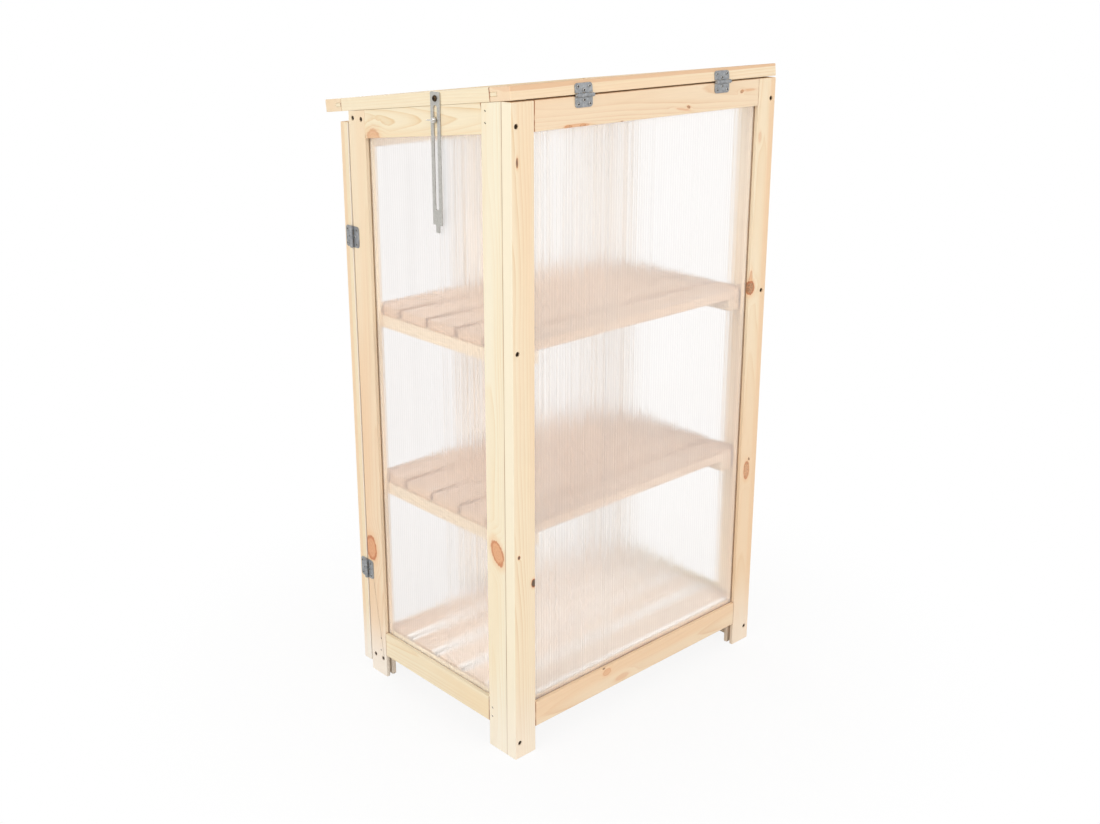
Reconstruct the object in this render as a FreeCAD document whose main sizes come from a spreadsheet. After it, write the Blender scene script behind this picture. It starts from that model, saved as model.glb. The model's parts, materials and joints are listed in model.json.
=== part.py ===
import FreeCAD, Part
import os
import re
import Sketcher
from FreeCAD import Placement, Rotation, Vector

# Wooden mini greenhouse on four short legs: grooved frames that hold clear twin-wall
# sheets, two outward doors at the front (-Y), a sloping lid hinged at the back (+Y) with
# a slotted stay at its right (+X), two shelves and a slatted floor.
# Millimetres, +Z up, origin in the middle of the whole outline at ground level.
#
# Every board is drawn in the plane of the panel it belongs to: x runs across the panel,
# y runs up (or along) it, and z is the board's thickness, measured from its middle.

# Driving sizes, one cell each. Lengths are in millimetres.
SIZES = {
    # carcass
    "cabinet_width": 580,
    "back_height": 1030,
    "lid_fall": 43,
    "side_depth": 366,
    "leg_height": 43,
    "timber_width": 43,
    "timber_thickness": 20,
    # grooves that hold the sheets, and the stub tongues that fill them at the joints
    "groove_depth": 15,
    "groove_width": 6,
    "tongue_play": 0.1,
    "tongue_end_play": 0.5,
    "pane_thickness": 4,
    "pane_play": 3,
    # doors
    "door_bottom": 15,
    "door_top_gap": 18,
    "door_gap": 3,
    "meeting_gap": 2,
    # lid
    "lid_length": 450,
    "lid_gap": 0.3,
    # shelves and floor
    "cleat_width": 50,
    "cleat_thickness": 20,
    "floor_cleat_top": 72,
    "shelf_pitch": 294.5,
    "slat_width": 61,
    "slat_gap": 9.5,
    "slat_thickness": 15,
    "slat_count": 5,
    "slat_end_gap": 5,
    "slat_back_gap": 3,
    # butt hinges, all alike
    "hinge_length": 35,
    "leaf_width": 17.5,
    "leaf_thickness": 1.2,
    "leaf_corner": 5,
    "knuckle_radius": 3,
    "knuckle_count": 5,
    "knuckle_gap": 0.3,
    "leaf_root_gap": 0.5,
    "pin_radius": 1.6,
    "pin_play": 0.05,
    "pin_overhang": 1,
    "lid_pin_play": 0.25,
    "hinge_screw_row": 12.5,
    "hinge_middle_row": 7,
    "hinge_screw_pitch": 11.5,
    "lid_hinge_spacing": 304,
    "door_hinge_low": 198,
    "door_hinge_inset": 200,
    # lid stay: a slotted strip on the right side
    "stay_width": 21.5,
    "stay_thickness": 2,
    "stay_top": 9.5,
    "stay_length": 185,
    "stay_tip_length": 12,
    "stay_tip_width": 8.2,
    "stay_corner": 2.5,
    "stay_standoff": 0.3,
    "stay_pivot_along": 163,
    "slot_start": 9.5,
    "slot_end": 163,
    "slot_width": 8.2,
    "stud_drop": 31,
    "stud_forward": 1.8,
    "stud_diameter": 4,
    "stud_length_in_wood": 14,
    "stud_overhang": 1.5,
    "stack_gap": 0.1,
    "nut_diameter": 10,
    "nut_height": 5,
    "wing_span": 18,
    "wing_height": 9.5,
    "wing_thickness": 2,
    "wing_tip": 3,
    "bore_play": 0.1,
    # screws
    "panel_screw_shank": 3.8,
    "panel_screw_head": 6.8,
    "panel_screw_head_height": 2.2,
    "panel_screw_length": 34,
    "recess_diameter": 7.4,
    "recess_depth": 3,
    "screw_hole_play": 0.2,
    "screw_tip_gap": 0.5,
    "back_screw_low": 27,
    "back_screw_mid": 672,
    "back_screw_inset": 33,
    "crossrail_screw_inset": 10.5,
    "hinge_screw_shank": 3,
    "hinge_screw_head": 5.6,
    "hinge_screw_head_height": 1,
    "hinge_screw_length": 14,
    "pivot_screw_shank": 5,
    "pivot_screw_head": 9,
    "pivot_screw_head_height": 2.5,
    "pivot_screw_depth": 22,
    # knobs and turn button on the doors
    "knob_clearance": 37.5,
    "knob_taper": 1.5,
    "knob_neck_radius": 8,
    "knob_head_radius": 15,
    "knob_neck_length": 8,
    "knob_length": 24,
    "knob_round": 3,
    "knob_screw_depth": 12,
    "button_height": 500,
    "button_length": 75,
    "button_width": 18,
    "button_thickness": 12,
    "button_standoff": 0.5,
    "button_edge": 1.5,
    "button_screw_head": 8.4,
}

# Sizes that follow from the driving ones, as formulas in the same names.
DERIVED = {
    # fall of the side tops and the lid per millimetre of depth, and sloped length per depth
    "slope": "lid_fall / side_depth",
    "slant": "sqrt(1 + slope ^ 2)",
    "half_width": "cabinet_width / 2",
    "front_height": "back_height - lid_fall",
    "back_screw_high": "back_height - back_screw_inset",
    "half_thick": "timber_thickness / 2",
    "inner_width": "cabinet_width - 2 * timber_thickness",
    "tongue_thickness": "groove_width - 2 * tongue_play",
    "tongue_length": "groove_depth - tongue_end_play",
    "pane_bite": "groove_depth - pane_play",
    # upright measures of parts that follow the slope
    "sloped_rail": "timber_width * slant",
    "sloped_groove": "groove_depth * slant",
    "sloped_play": "pane_play * slant",
    # depth coordinates, from the back face towards the front
    "side_front_y": "timber_thickness + side_depth",
    "door_inner_y": "side_front_y + door_gap",
    "door_outer_y": "door_inner_y + timber_thickness",
    "door_width": "(cabinet_width - meeting_gap) / 2",
    "door_height": "front_height - door_top_gap - door_bottom",
    "door_hinge_high": "front_height - door_hinge_inset",
    "door_pin_y": "side_front_y + door_gap / 2",
    "door_pin_x": "half_width + knuckle_radius",
    "door_pin_z": "(door_hinge_low + door_hinge_high) / 2",
    "door_hinge_spacing": "door_hinge_high - door_hinge_low",
    # lid: lower back edge, pin and the front end of the middle plane
    "lid_corner_z": "back_height + timber_thickness * slope + lid_gap",
    "lid_pin_y": "knuckle_radius + lid_pin_play",
    "lid_pin_z": "(back_height + lid_corner_z) / 2",
    "lid_base_y": "-(lid_length + half_thick * slope) / slant",
    "lid_base_z": "lid_corner_z + (half_thick - lid_length * slope) / slant",
    # how far up the lid's back edge the pin stands, measured along that sloping edge
    "lid_pin_along": "((lid_pin_z - lid_corner_z) - lid_pin_y * slope) / slant",
    # stay pivot and stud
    "pivot_y": "-(stay_pivot_along + half_thick * slope) / slant",
    "pivot_z": "lid_corner_z + (half_thick - stay_pivot_along * slope) / slant",
    "stud_y": "pivot_y - stud_forward",
    "stud_z": "pivot_z - stud_drop",
    "stay_outer_x": "half_width + stay_standoff + stay_thickness",
    "nut_base_x": "stay_outer_x + stack_gap",
    # shelves
    "middle_cleat_top": "floor_cleat_top + shelf_pitch",
    "upper_cleat_top": "floor_cleat_top + 2 * shelf_pitch",
    "slat_pitch": "slat_width + slat_gap",
    "slat_run": "inner_width - 2 * slat_end_gap",
    "crossrail_top_z": "front_height - half_thick",
    "crossrail_bottom_z": "leg_height - half_thick",
    "knuckle_pitch": "hinge_length / knuckle_count",
    "button_face_y": "door_outer_y + button_standoff + button_thickness",
    "knob_along": "timber_width / 2",
    "knob_height": "button_height + button_length / 2 + knob_clearance + knob_head_radius",
    # outline of the whole part, for the origin
    "reach_right": "nut_base_x + wing_height",
    "reach_left": "door_pin_x + knuckle_radius",
    "reach_back": "lid_pin_y + knuckle_radius",
    "reach_front": "(lid_length + timber_thickness * slope) / slant",
    "shift_x": "(reach_left - reach_right) / 2",
    "shift_y": "(reach_front - reach_back) / 2",
}

CUT_MARGIN = 1.0

X, Y, Z = Vector(1, 0, 0), Vector(0, 1, 0), Vector(0, 0, 1)

doc = FreeCAD.newDocument("MiniGreenhouse")
sheet = doc.addObject("Spreadsheet::Sheet", "sizes")
for row, (alias, amount) in enumerate(SIZES.items(), start=1):
    sheet.set(f"A{row}", alias)
    sheet.set(f"B{row}", str(amount))
    sheet.setAlias(f"B{row}", alias)
doc.recompute()

NODES = []


# Formulas and placement

def formula(text):
    """Spells a formula in cell names, with each derived value put in as a bracket."""
    def spell(match):
        word = match.group(0)
        if word in DERIVED:
            return "(" + formula(DERIVED[word]) + ")"
        return "sizes." + word if word in SIZES else word
    return re.sub(r"[A-Za-z_]\w*", spell, text)


def number(text):
    """The value of a formula, as a plain number."""
    value = sheet.evalExpression(formula(text))
    return float(getattr(value, "Value", value))


def bind(item, prop, text):
    """Ties a property to a formula of the sheet's cells."""
    item.setExpression(prop, formula(text))


def facing(x_axis, z_axis):
    """The turn that lays local x along x_axis and local z along z_axis."""
    return Rotation(x_axis, z_axis.cross(x_axis), z_axis, "ZXY")


def place(item, x, y, z, turn=Rotation(), angle=None):
    """Puts item at a point of the carcass frame; angle is a formula for a turned angle."""
    item.Placement = Placement(Vector(), turn)
    bind(item, "Placement.Base.x", f"({x}) + shift_x")
    bind(item, "Placement.Base.y", f"({y}) + shift_y")
    bind(item, "Placement.Base.z", z)
    if angle:
        bind(item, "Placement.Rotation.Angle", angle)


# Sketches and features

def new_body(label):
    """An empty body whose label names its file."""
    body = doc.addObject("PartDesign::Body", label)
    body.Label = label
    return body


def origin_part(body, role):
    """An origin plane or axis of the body, by its role."""
    return next(part for part in body.Origin.OriginFeatures if part.Role == role)


def sketch_on(body, role="XY_Plane", offset=None):
    """A sketch on an origin plane of its own body, moved along the plane's normal."""
    sketch = body.newObject("Sketcher::SketchObject", body.Label + "_sketch")
    sketch.AttachmentSupport = [(origin_part(body, role), "")]
    sketch.MapMode = "FlatFace"
    if offset:
        bind(sketch, "AttachmentOffset.Base.z", offset)
    return sketch


def pin_point(sketch, geometry, point, x, y):
    """Ties a point of the sketch to two formulas, measured from the sketch's origin."""
    for kind, text in (("DistanceX", x), ("DistanceY", y)):
        rule = Sketcher.Constraint(kind, -1, 1, geometry, point, number(text))
        index = sketch.addConstraint(rule)
        bind(sketch, f"Constraints[{index}]", text)


def outline(sketch, points):
    """A closed polygon whose corners are pairs of formulas."""
    corners = [Vector(number(x), number(y), 0) for x, y in points]
    first = sketch.GeometryCount
    count = len(corners)
    for i in range(count):
        sketch.addGeometry(Part.LineSegment(corners[i], corners[(i + 1) % count]), False)
    for i in range(count):
        following = first + (i + 1) % count
        sketch.addConstraint(Sketcher.Constraint("Coincident", first + i, 2, following, 1))
    for i, (x, y) in enumerate(points):
        pin_point(sketch, first + i, 1, x, y)


def rectangle(sketch, left, low, right, high):
    """A rectangle between two corners."""
    outline(sketch, [(left, low), (right, low), (right, high), (left, high)])


def circles(sketch, centres, diameter):
    """Equal circles at pairs of formulas."""
    for x, y in centres:
        centre = Vector(number(x), number(y), 0)
        index = sketch.addGeometry(Part.Circle(centre, Z, number(diameter) / 2), False)
        pin_point(sketch, index, 3, x, y)
        rule = Sketcher.Constraint("Diameter", index, number(diameter))
        bind(sketch, f"Constraints[{sketch.addConstraint(rule)}]", diameter)


def extrude(body, kind, sketch, length, side="Symmetric", backwards=False):
    """A Pad or a Pocket of the sketch."""
    feature = body.newObject("PartDesign::" + kind, f"{body.Label}_{kind.lower()}")
    feature.Profile = sketch
    feature.SideType = side
    feature.Reversed = backwards
    bind(feature, "Length", length)
    sketch.Visibility = False
    return feature


def revolve(body, sketch, role):
    """A full turn of the sketch about an origin axis."""
    feature = body.newObject("PartDesign::Revolution", body.Label + "_revolution")
    feature.Profile = sketch
    feature.ReferenceAxis = (origin_part(body, role), [""])
    feature.Angle = 360
    return feature


def dress(body, kind, size_name, size, chosen):
    """A Fillet or a Chamfer on the edges of the body that chosen picks."""
    doc.recompute()
    base = body.Tip
    names = [f"Edge{i}" for i, edge in enumerate(base.Shape.Edges, start=1) if chosen(edge)]
    feature = body.newObject("PartDesign::" + kind, f"{body.Label}_{kind.lower()}")
    feature.Base = (base, names)
    bind(feature, size_name, size)
    return feature


def repeat(body, role, length, count):
    """Repeats the whole body along an origin axis, over a length."""
    doc.recompute()
    pattern = body.newObject("PartDesign::LinearPattern", body.Label + "_pattern")
    pattern.TransformMode = "Whole shape"
    pattern.Direction = (origin_part(body, role), [""])
    bind(pattern, "Length", length)
    bind(pattern, "Occurrences", count)
    body.Tip = pattern


def upright(edge):
    """True for a straight edge along local z."""
    ends = edge.Vertexes
    if len(ends) != 2 or edge.Curve.TypeId != "Part::GeomLine":
        return False
    run = ends[1].Point - ends[0].Point
    return abs(run.x) + abs(run.y) < 1e-6


# Boards of a grooved frame

def drill_face(body, centres, diameter, outer, depth=None):
    """Holes through a board's face, or depth deep from its outer face.

    outer is -1 where the outer face is at local -z and +1 where it is at local +z."""
    if depth is None:
        sketch = sketch_on(body)
        circles(sketch, centres, diameter)
        extrude(body, "Pocket", sketch, f"timber_thickness + {CUT_MARGIN}")
        return
    sketch = sketch_on(body, offset=f"{outer} * half_thick")
    circles(sketch, centres, diameter)
    extrude(body, "Pocket", sketch, depth, "One side", outer < 0)


def drill_end(body, centres, diameter, depth, role, offset, backwards):
    """Blind holes into the edge or end of a board, square to its thickness."""
    sketch = sketch_on(body, role, offset)
    circles(sketch, centres, diameter)
    extrude(body, "Pocket", sketch, depth, "One side", backwards)


def board(label, shape, grooves=(), tongues=(), thickness="timber_thickness"):
    """A board from its outline, with grooves and tongues in the middle of its thickness."""
    body = new_body(label)
    sketch = sketch_on(body)
    outline(sketch, shape)
    extrude(body, "Pad", sketch, thickness)
    for groove in grooves:
        sketch = sketch_on(body)
        outline(sketch, groove)
        extrude(body, "Pocket", sketch, "groove_width")
    for tongue in tongues:
        sketch = sketch_on(body)
        outline(sketch, tongue)
        extrude(body, "Pad", sketch, "tongue_thickness")
    NODES.append(body)
    return body


def box(left, low, right, high):
    """The four corners of an upright rectangle, as an outline for a board."""
    return [(left, low), (right, low), (right, high), (left, high)]


def through_board(label, left, right, length, groove_at):
    """A board over the whole height of its panel, grooved along the edge groove_at."""
    if groove_at == "right":
        groove = box(f"{right} - groove_depth", f"-{CUT_MARGIN}", right,
                     f"{length} + {CUT_MARGIN}")
    else:
        groove = box(left, f"-{CUT_MARGIN}", f"{left} + groove_depth",
                     f"{length} + {CUT_MARGIN}")
    return board(label, box(left, "0 * timber_width", right, length), [groove])


def between_board(label, left, right, low, groove_at):
    """A board between two grooved ones, with a stub tongue at each end."""
    high = f"{low} + timber_width"
    edge_left, edge_right = f"{left} - {CUT_MARGIN}", f"{right} + {CUT_MARGIN}"
    if groove_at == "top":
        groove = box(edge_left, f"{high} - groove_depth", edge_right, high)
        web = (low, f"{high} - groove_depth")
    else:
        groove = box(edge_left, low, edge_right, f"{low} + groove_depth")
        web = (f"{low} + groove_depth", high)
    tongue = box(f"{left} - tongue_length", web[0], f"{right} + tongue_length", web[1])
    return board(label, box(left, low, right, high), [groove], [tongue])


def pane(label, shape):
    """A clear sheet, seated on the lower groove's floor with play on its other sides."""
    return board(label, shape, thickness="pane_thickness")


def flat_frame(prefix, width, height, low, place_member, names):
    """Stiles, rails and sheet of a rectangular frame whose stiles run through.

    names gives the words for the left stile, the right stile and the sheet."""
    left, right, sheet_name = names
    inner_left, inner_right = "timber_width", f"{width} - timber_width"
    members = {
        left: through_board(prefix + left, "0 * timber_width", inner_left, height, "right"),
        right: through_board(prefix + right, inner_right, width, height, "left"),
        "top_rail": between_board(prefix + "top_rail", inner_left, inner_right,
                                  f"{height} - timber_width", "bottom"),
        "bottom_rail": between_board(prefix + "bottom_rail", inner_left, inner_right,
                                     low, "top"),
        sheet_name: pane(prefix + sheet_name, box(
            f"{inner_left} - pane_bite", f"{low} + timber_width - groove_depth",
            f"{inner_right} + pane_bite",
            f"{height} - timber_width + groove_depth - pane_play")),
    }
    for member in members.values():
        place_member(member)
    return members


# Back panel

LEVEL_ACROSS = facing(X, -Y)
BACK_SCREW_ROWS = ["back_screw_low", "back_screw_mid", "back_screw_high"]
SCREW_HOLE = "panel_screw_shank + screw_hole_play"
HINGE_HOLE = "hinge_screw_shank + screw_hole_play"
SMALL_HOLE = "stud_diameter + bore_play"
# each leaf screw: how far along the pin, and how far away from it
LEAF_SCREWS = [("-hinge_screw_pitch", "hinge_screw_row"),
               ("0 * hinge_screw_pitch", "hinge_middle_row"),
               ("hinge_screw_pitch", "hinge_screw_row")]


def build_back_panel():
    """The back frame; its screws go through the stiles into the side panels."""
    def stand(member):
        place(member, "-half_width", "-half_thick", "0 * leg_height", LEVEL_ACROSS)
    members = flat_frame("back_", "cabinet_width", "back_height", "leg_height", stand,
                         ("left_stile", "right_stile", "sheet"))
    for name, across in (("left_stile", "half_thick"),
                         ("right_stile", "cabinet_width - half_thick")):
        spots = [(across, row) for row in BACK_SCREW_ROWS]
        drill_face(members[name], spots, SCREW_HOLE, -1)
        drill_face(members[name], spots, "recess_diameter", -1, "recess_depth")
    spots = [(f"half_width + {side} * lid_hinge_spacing / 2 + {along}",
              f"lid_pin_z - {row}")
             for side in (-1, 1) for along, row in LEAF_SCREWS]
    drill_face(members["top_rail"], spots, HINGE_HOLE, -1, "hinge_screw_length")


# Side panels, with their tops cut to the slope

def top_at(depth):
    """Height of the sloping top edge at a depth from the panel's back edge."""
    return f"back_height - ({depth}) * slope"


def sloped(left, right, low_drop, high_drop):
    """An outline between two depths whose low and high edges follow the slope."""
    return [(left, f"{top_at(left)} - {low_drop}"), (right, f"{top_at(right)} - {low_drop}"),
            (right, f"{top_at(right)} - {high_drop}"), (left, f"{top_at(left)} - {high_drop}")]


def cut_to_slope(left, low, right, over="0 * slope"):
    """An outline with an upright left and right edge and a sloping top."""
    return [(left, low), (right, low), (right, f"{top_at(right)} + {over}"),
            (left, f"{top_at(left)} + {over}")]


CROSSRAIL_SCREW_DEPTHS = ["side_depth - crossrail_screw_inset",
                          "side_depth - timber_width + crossrail_screw_inset"]


def build_side_panel(side, outer):
    """One side frame; outer is +1 where the outer face is at local +z, else -1."""
    zero = "0 * timber_width"
    front = "side_depth - timber_width"
    prefix = side + "_side_"
    back_stile = board(prefix + "back_stile", cut_to_slope(zero, zero, "timber_width"),
                       [cut_to_slope("timber_width - groove_depth", f"-{CUT_MARGIN}",
                                     "timber_width", f"{CUT_MARGIN}")])
    front_stile = board(prefix + "front_stile", cut_to_slope(front, zero, "side_depth"),
                        [cut_to_slope(front, f"-{CUT_MARGIN}", f"{front} + groove_depth",
                                      f"{CUT_MARGIN}")])
    tongue_left, tongue_right = "timber_width - tongue_length", f"{front} + tongue_length"
    groove = sloped(f"timber_width - {CUT_MARGIN}", f"{front} + {CUT_MARGIN}",
                    "sloped_rail", "(sloped_rail - sloped_groove)")
    tongue = sloped(tongue_left, tongue_right, "(sloped_rail - sloped_groove)", zero)
    top_rail = board(prefix + "top_rail",
                     sloped("timber_width", front, "sloped_rail", zero), [groove], [tongue])
    bottom_rail = between_board(prefix + "bottom_rail", "timber_width", front,
                                "leg_height", "top")
    pane_left, pane_right = "timber_width - pane_bite", f"{front} + pane_bite"
    pane_low = "leg_height + timber_width - groove_depth"
    pane_drop = "sloped_rail - sloped_groove + sloped_play"
    pane_sheet = pane(prefix + "sheet", [
        (pane_left, pane_low), (pane_right, pane_low),
        (pane_right, f"{top_at(pane_right)} - ({pane_drop})"),
        (pane_left, f"{top_at(pane_left)} - ({pane_drop})")])

    drill_end(back_stile, [(row, zero) for row in BACK_SCREW_ROWS], SCREW_HOLE,
              "panel_screw_length + recess_depth - timber_thickness", "YZ_Plane", None, True)
    spots = [(depth, level) for depth in CROSSRAIL_SCREW_DEPTHS
             for level in ("crossrail_top_z", "crossrail_bottom_z")]
    drill_face(front_stile, spots, SCREW_HOLE, outer)
    drill_face(front_stile, spots, "recess_diameter", outer, "recess_depth")
    tongue_spot = [(CROSSRAIL_SCREW_DEPTHS[1], "crossrail_top_z")]
    drill_face(top_rail, tongue_spot, SCREW_HOLE, outer)
    spots = [(f"door_pin_y - timber_thickness - {row}", f"{level} + {along}")
             for level in ("door_hinge_low", "door_hinge_high")
             for along, row in LEAF_SCREWS]
    drill_face(front_stile, spots, HINGE_HOLE, outer, "hinge_screw_length")
    if side == "right":
        drill_face(top_rail, [("-stud_y - timber_thickness", "stud_z")], SMALL_HOLE, outer,
                   "stud_length_in_wood")

    turn = Rotation(Z, -90) * LEVEL_ACROSS
    across = f"{-outer} * (half_width - half_thick)"
    for member in (back_stile, front_stile, top_rail, bottom_rail, pane_sheet):
        place(member, across, "-timber_thickness", zero, turn)


def build_crossrails():
    """Two flat rails that join the side panels at the front, above and below the doors."""
    for name, level in (("front_top_crossrail", "crossrail_top_z"),
                        ("front_bottom_crossrail", "crossrail_bottom_z")):
        rail = board(name, box("0 * timber_width", "0 * timber_width", "inner_width",
                               "timber_width"))
        spots = [("crossrail_screw_inset", "0 * timber_width"),
                 ("timber_width - crossrail_screw_inset", "0 * timber_width")]
        depth = "panel_screw_length + recess_depth - timber_thickness"
        drill_end(rail, spots, SCREW_HOLE, depth, "YZ_Plane", None, True)
        drill_end(rail, spots, SCREW_HOLE, depth, "YZ_Plane", "inner_width", False)
        place(rail, "-inner_width / 2", "-side_front_y", level)


# Doors

def build_door(side):
    """One door; its hinge stile is the outer one and its knob sits on the meeting stile."""
    right = side == "right"
    names = (("meeting_stile", "hinge_stile", "sheet") if right
             else ("hinge_stile", "meeting_stile", "sheet"))
    left_x = "meeting_gap / 2" if right else "-half_width"

    def stand(member):
        place(member, left_x, "-(door_inner_y + half_thick)", "door_bottom", LEVEL_ACROSS)
    members = flat_frame(side + "_door_", "door_width", "door_height",
                         "0 * timber_width", stand, names)
    spots = [(f"{level} - door_bottom + {along}",
              f"door_pin_y + {row} - door_inner_y - half_thick")
             for level in ("door_hinge_low", "door_hinge_high")
             for along, row in LEAF_SCREWS]
    drill_end(members["hinge_stile"], spots, HINGE_HOLE, "hinge_screw_length", "YZ_Plane",
              "door_width" if right else None, not right)
    across = "knob_along" if right else "door_width - knob_along"
    drill_face(members["meeting_stile"], [(across, "knob_height - door_bottom")],
               SMALL_HOLE, 1)
    if right:
        drill_face(members["meeting_stile"], [(across, "button_height - door_bottom")],
                   SMALL_HOLE, 1, "hinge_screw_length")


def build_knob(side, across):
    """A turned wooden knob with a pilot hole for the screw from inside."""
    knob = new_body(side + "_door_knob")
    sketch = sketch_on(knob, "XZ_Plane")
    zero = "0 * knob_length"
    outline(sketch, [
        (zero, zero), ("knob_neck_radius", zero),
        ("knob_neck_radius - knob_taper", "knob_neck_length"),
        ("knob_head_radius", "(knob_neck_length + knob_length) / 2 - knob_taper"),
        ("knob_head_radius", "knob_length - knob_round"),
        ("knob_head_radius * 0.7", "knob_length"), (zero, "knob_length")])
    revolve(knob, sketch, "Z_Axis")
    sketch = sketch_on(knob)
    circles(sketch, [(zero, zero)], SMALL_HOLE)
    extrude(knob, "Pocket", sketch, "knob_screw_depth", "One side", True)
    dress(knob, "Fillet", "Radius", "knob_round / 2", lambda edge: (
        edge.Curve.TypeId == "Part::GeomCircle"
        and edge.Curve.Center.z > number("knob_length / 2")))
    place(knob, across, "-door_outer_y", "knob_height", facing(X, -Y))
    NODES.append(knob)


def build_turn_button():
    """A wooden bar that turns on one screw and reaches over the other door's stile."""
    button = new_body("door_turn_button")
    sketch = sketch_on(button)
    rectangle(sketch, "-button_width / 2", "-button_length / 2", "button_width / 2",
              "button_length / 2")
    extrude(button, "Pad", sketch, "button_thickness", "One side")
    dress(button, "Fillet", "Radius", "button_width / 2 - button_edge", upright)
    front = number("button_thickness")
    dress(button, "Chamfer", "Size", "button_edge", lambda edge: all(
        abs(vertex.Z - front) < 1e-6 for vertex in edge.Vertexes))
    sketch = sketch_on(button)
    circles(sketch, [("0 * button_width", "0 * button_width")], SMALL_HOLE)
    extrude(button, "Pocket", sketch, "button_thickness", "One side", True)
    place(button, "meeting_gap / 2 + knob_along", "-(door_outer_y + button_standoff)",
          "button_height", LEVEL_ACROSS)
    NODES.append(button)


# Lid

def build_lid():
    """The lid frame: its back and front rails run through, the side rails sit between."""
    zero = "0 * timber_width"
    back_low = "lid_length - timber_width"
    inner_right = "cabinet_width - timber_width"
    margin_left, margin_right = f"-{CUT_MARGIN}", f"cabinet_width + {CUT_MARGIN}"
    front = board("lid_front_rail", box(zero, zero, "cabinet_width", "timber_width"),
                  [box(margin_left, "timber_width - groove_depth", margin_right,
                       "timber_width")])
    back = board("lid_back_rail", box(zero, back_low, "cabinet_width", "lid_length"),
                 [box(margin_left, back_low, margin_right, f"{back_low} + groove_depth")])
    low, high = f"timber_width - {CUT_MARGIN}", f"{back_low} + {CUT_MARGIN}"
    tongue_low, tongue_high = "timber_width - tongue_length", f"{back_low} + tongue_length"
    left = board("lid_left_rail", box(zero, "timber_width", "timber_width", back_low),
                 [box("timber_width - groove_depth", low, "timber_width", high)],
                 [box(zero, tongue_low, "timber_width - groove_depth", tongue_high)])
    right = board("lid_right_rail",
                  box(inner_right, "timber_width", "cabinet_width", back_low),
                  [box(inner_right, low, f"{inner_right} + groove_depth", high)],
                  [box(f"{inner_right} + groove_depth", tongue_low, "cabinet_width",
                       tongue_high)])
    pane_sheet = pane("lid_sheet", box(
        "timber_width - pane_bite", "timber_width - groove_depth",
        f"{inner_right} + pane_bite", f"{back_low} + groove_depth - pane_play"))

    spots = [(f"half_width + {side} * lid_hinge_spacing / 2 + {along}",
              f"lid_pin_along + {row} - half_thick")
             for side in (-1, 1) for along, row in LEAF_SCREWS]
    drill_end(back, spots, HINGE_HOLE, "hinge_screw_length", "XZ_Plane", "-lid_length", True)
    drill_end(right, [("lid_length - stay_pivot_along", zero)],
              "pivot_screw_shank + bore_play", "pivot_screw_depth", "YZ_Plane",
              "cabinet_width", False)
    for member in (front, back, left, right, pane_sheet):
        place(member, "-half_width", "lid_base_y", "lid_base_z", Rotation(X, 1),
              "atan(slope)")


# Shelves and floor

def build_level(name, cleat_prefix, top):
    """Two cleats on the side panels and the slats that lie across them."""
    zero = "0 * slat_width"
    for side, left in (("left", "-inner_width / 2"),
                       ("right", "inner_width / 2 - cleat_width")):
        cleat = board(f"{cleat_prefix}_{side}_cleat", box(
            zero, zero, "cleat_width", "side_depth - slat_back_gap - timber_thickness"),
            thickness="cleat_thickness")
        place(cleat, left, "-side_front_y + timber_thickness",
              f"{top} - cleat_thickness / 2")
    slats = board(name, box(zero, zero, "slat_run", "slat_width"),
                  thickness="slat_thickness")
    repeat(slats, "Y_Axis", "slat_pitch * (slat_count - 1)", "slat_count")
    front = "timber_thickness + slat_back_gap + slat_width + slat_pitch * (slat_count - 1)"
    place(slats, "-slat_run / 2", f"-({front})", f"{top} + slat_thickness / 2")


# Butt hinges: the pin runs along local x, the leaf lies towards local -y

def hinge_leaves(label, own_knuckles, spacing):
    """Two leaves on one pin line, a spacing apart, with the given knuckles of the five."""
    body = new_body(label)
    start = f"-({spacing}) / 2 - hinge_length / 2"
    zero = "0 * knuckle_radius"
    spans = [(f"{start} + knuckle_pitch * {i} + knuckle_gap / 2",
              f"{start} + knuckle_pitch * {i + 1} - knuckle_gap / 2") for i in own_knuckles]
    root = "-(knuckle_radius + leaf_root_gap)"
    edge = [(start, "-leaf_width"), (f"{start} + hinge_length", "-leaf_width")]
    comb = []
    for left, right in reversed(spans):
        comb += [(right, root), (right, zero), (left, zero), (left, root)]
    if 0 in own_knuckles:
        edge = [(spans[0][0], "-leaf_width"), (spans[-1][1], "-leaf_width")]
        comb = comb[1:-1]
    else:
        comb = [(f"{start} + hinge_length", root)] + comb + [(start, root)]
    sketch = sketch_on(body, offset="-knuckle_radius")
    outline(sketch, edge + comb)
    extrude(body, "Pad", sketch, "leaf_thickness", "One side")
    dress(body, "Fillet", "Radius", "leaf_corner", lambda side: (
        upright(side) and side.Vertexes[0].Y < number("-leaf_width / 2")))
    sketch = sketch_on(body)
    for left, right in spans:
        rectangle(sketch, left, "pin_radius + pin_play", right, "knuckle_radius")
    revolve(body, sketch, "X_Axis")
    sketch = sketch_on(body)
    circles(sketch, [(f"-({spacing}) / 2 + {along}", f"-{row}")
                     for along, row in LEAF_SCREWS], HINGE_HOLE)
    extrude(body, "Pocket", sketch, "2 * knuckle_radius", "One side")
    repeat(body, "X_Axis", spacing, "2")
    NODES.append(body)
    return body


FRAME_KNUCKLES = (0, 2, 4)
MOVING_KNUCKLES = (1, 3)


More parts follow.
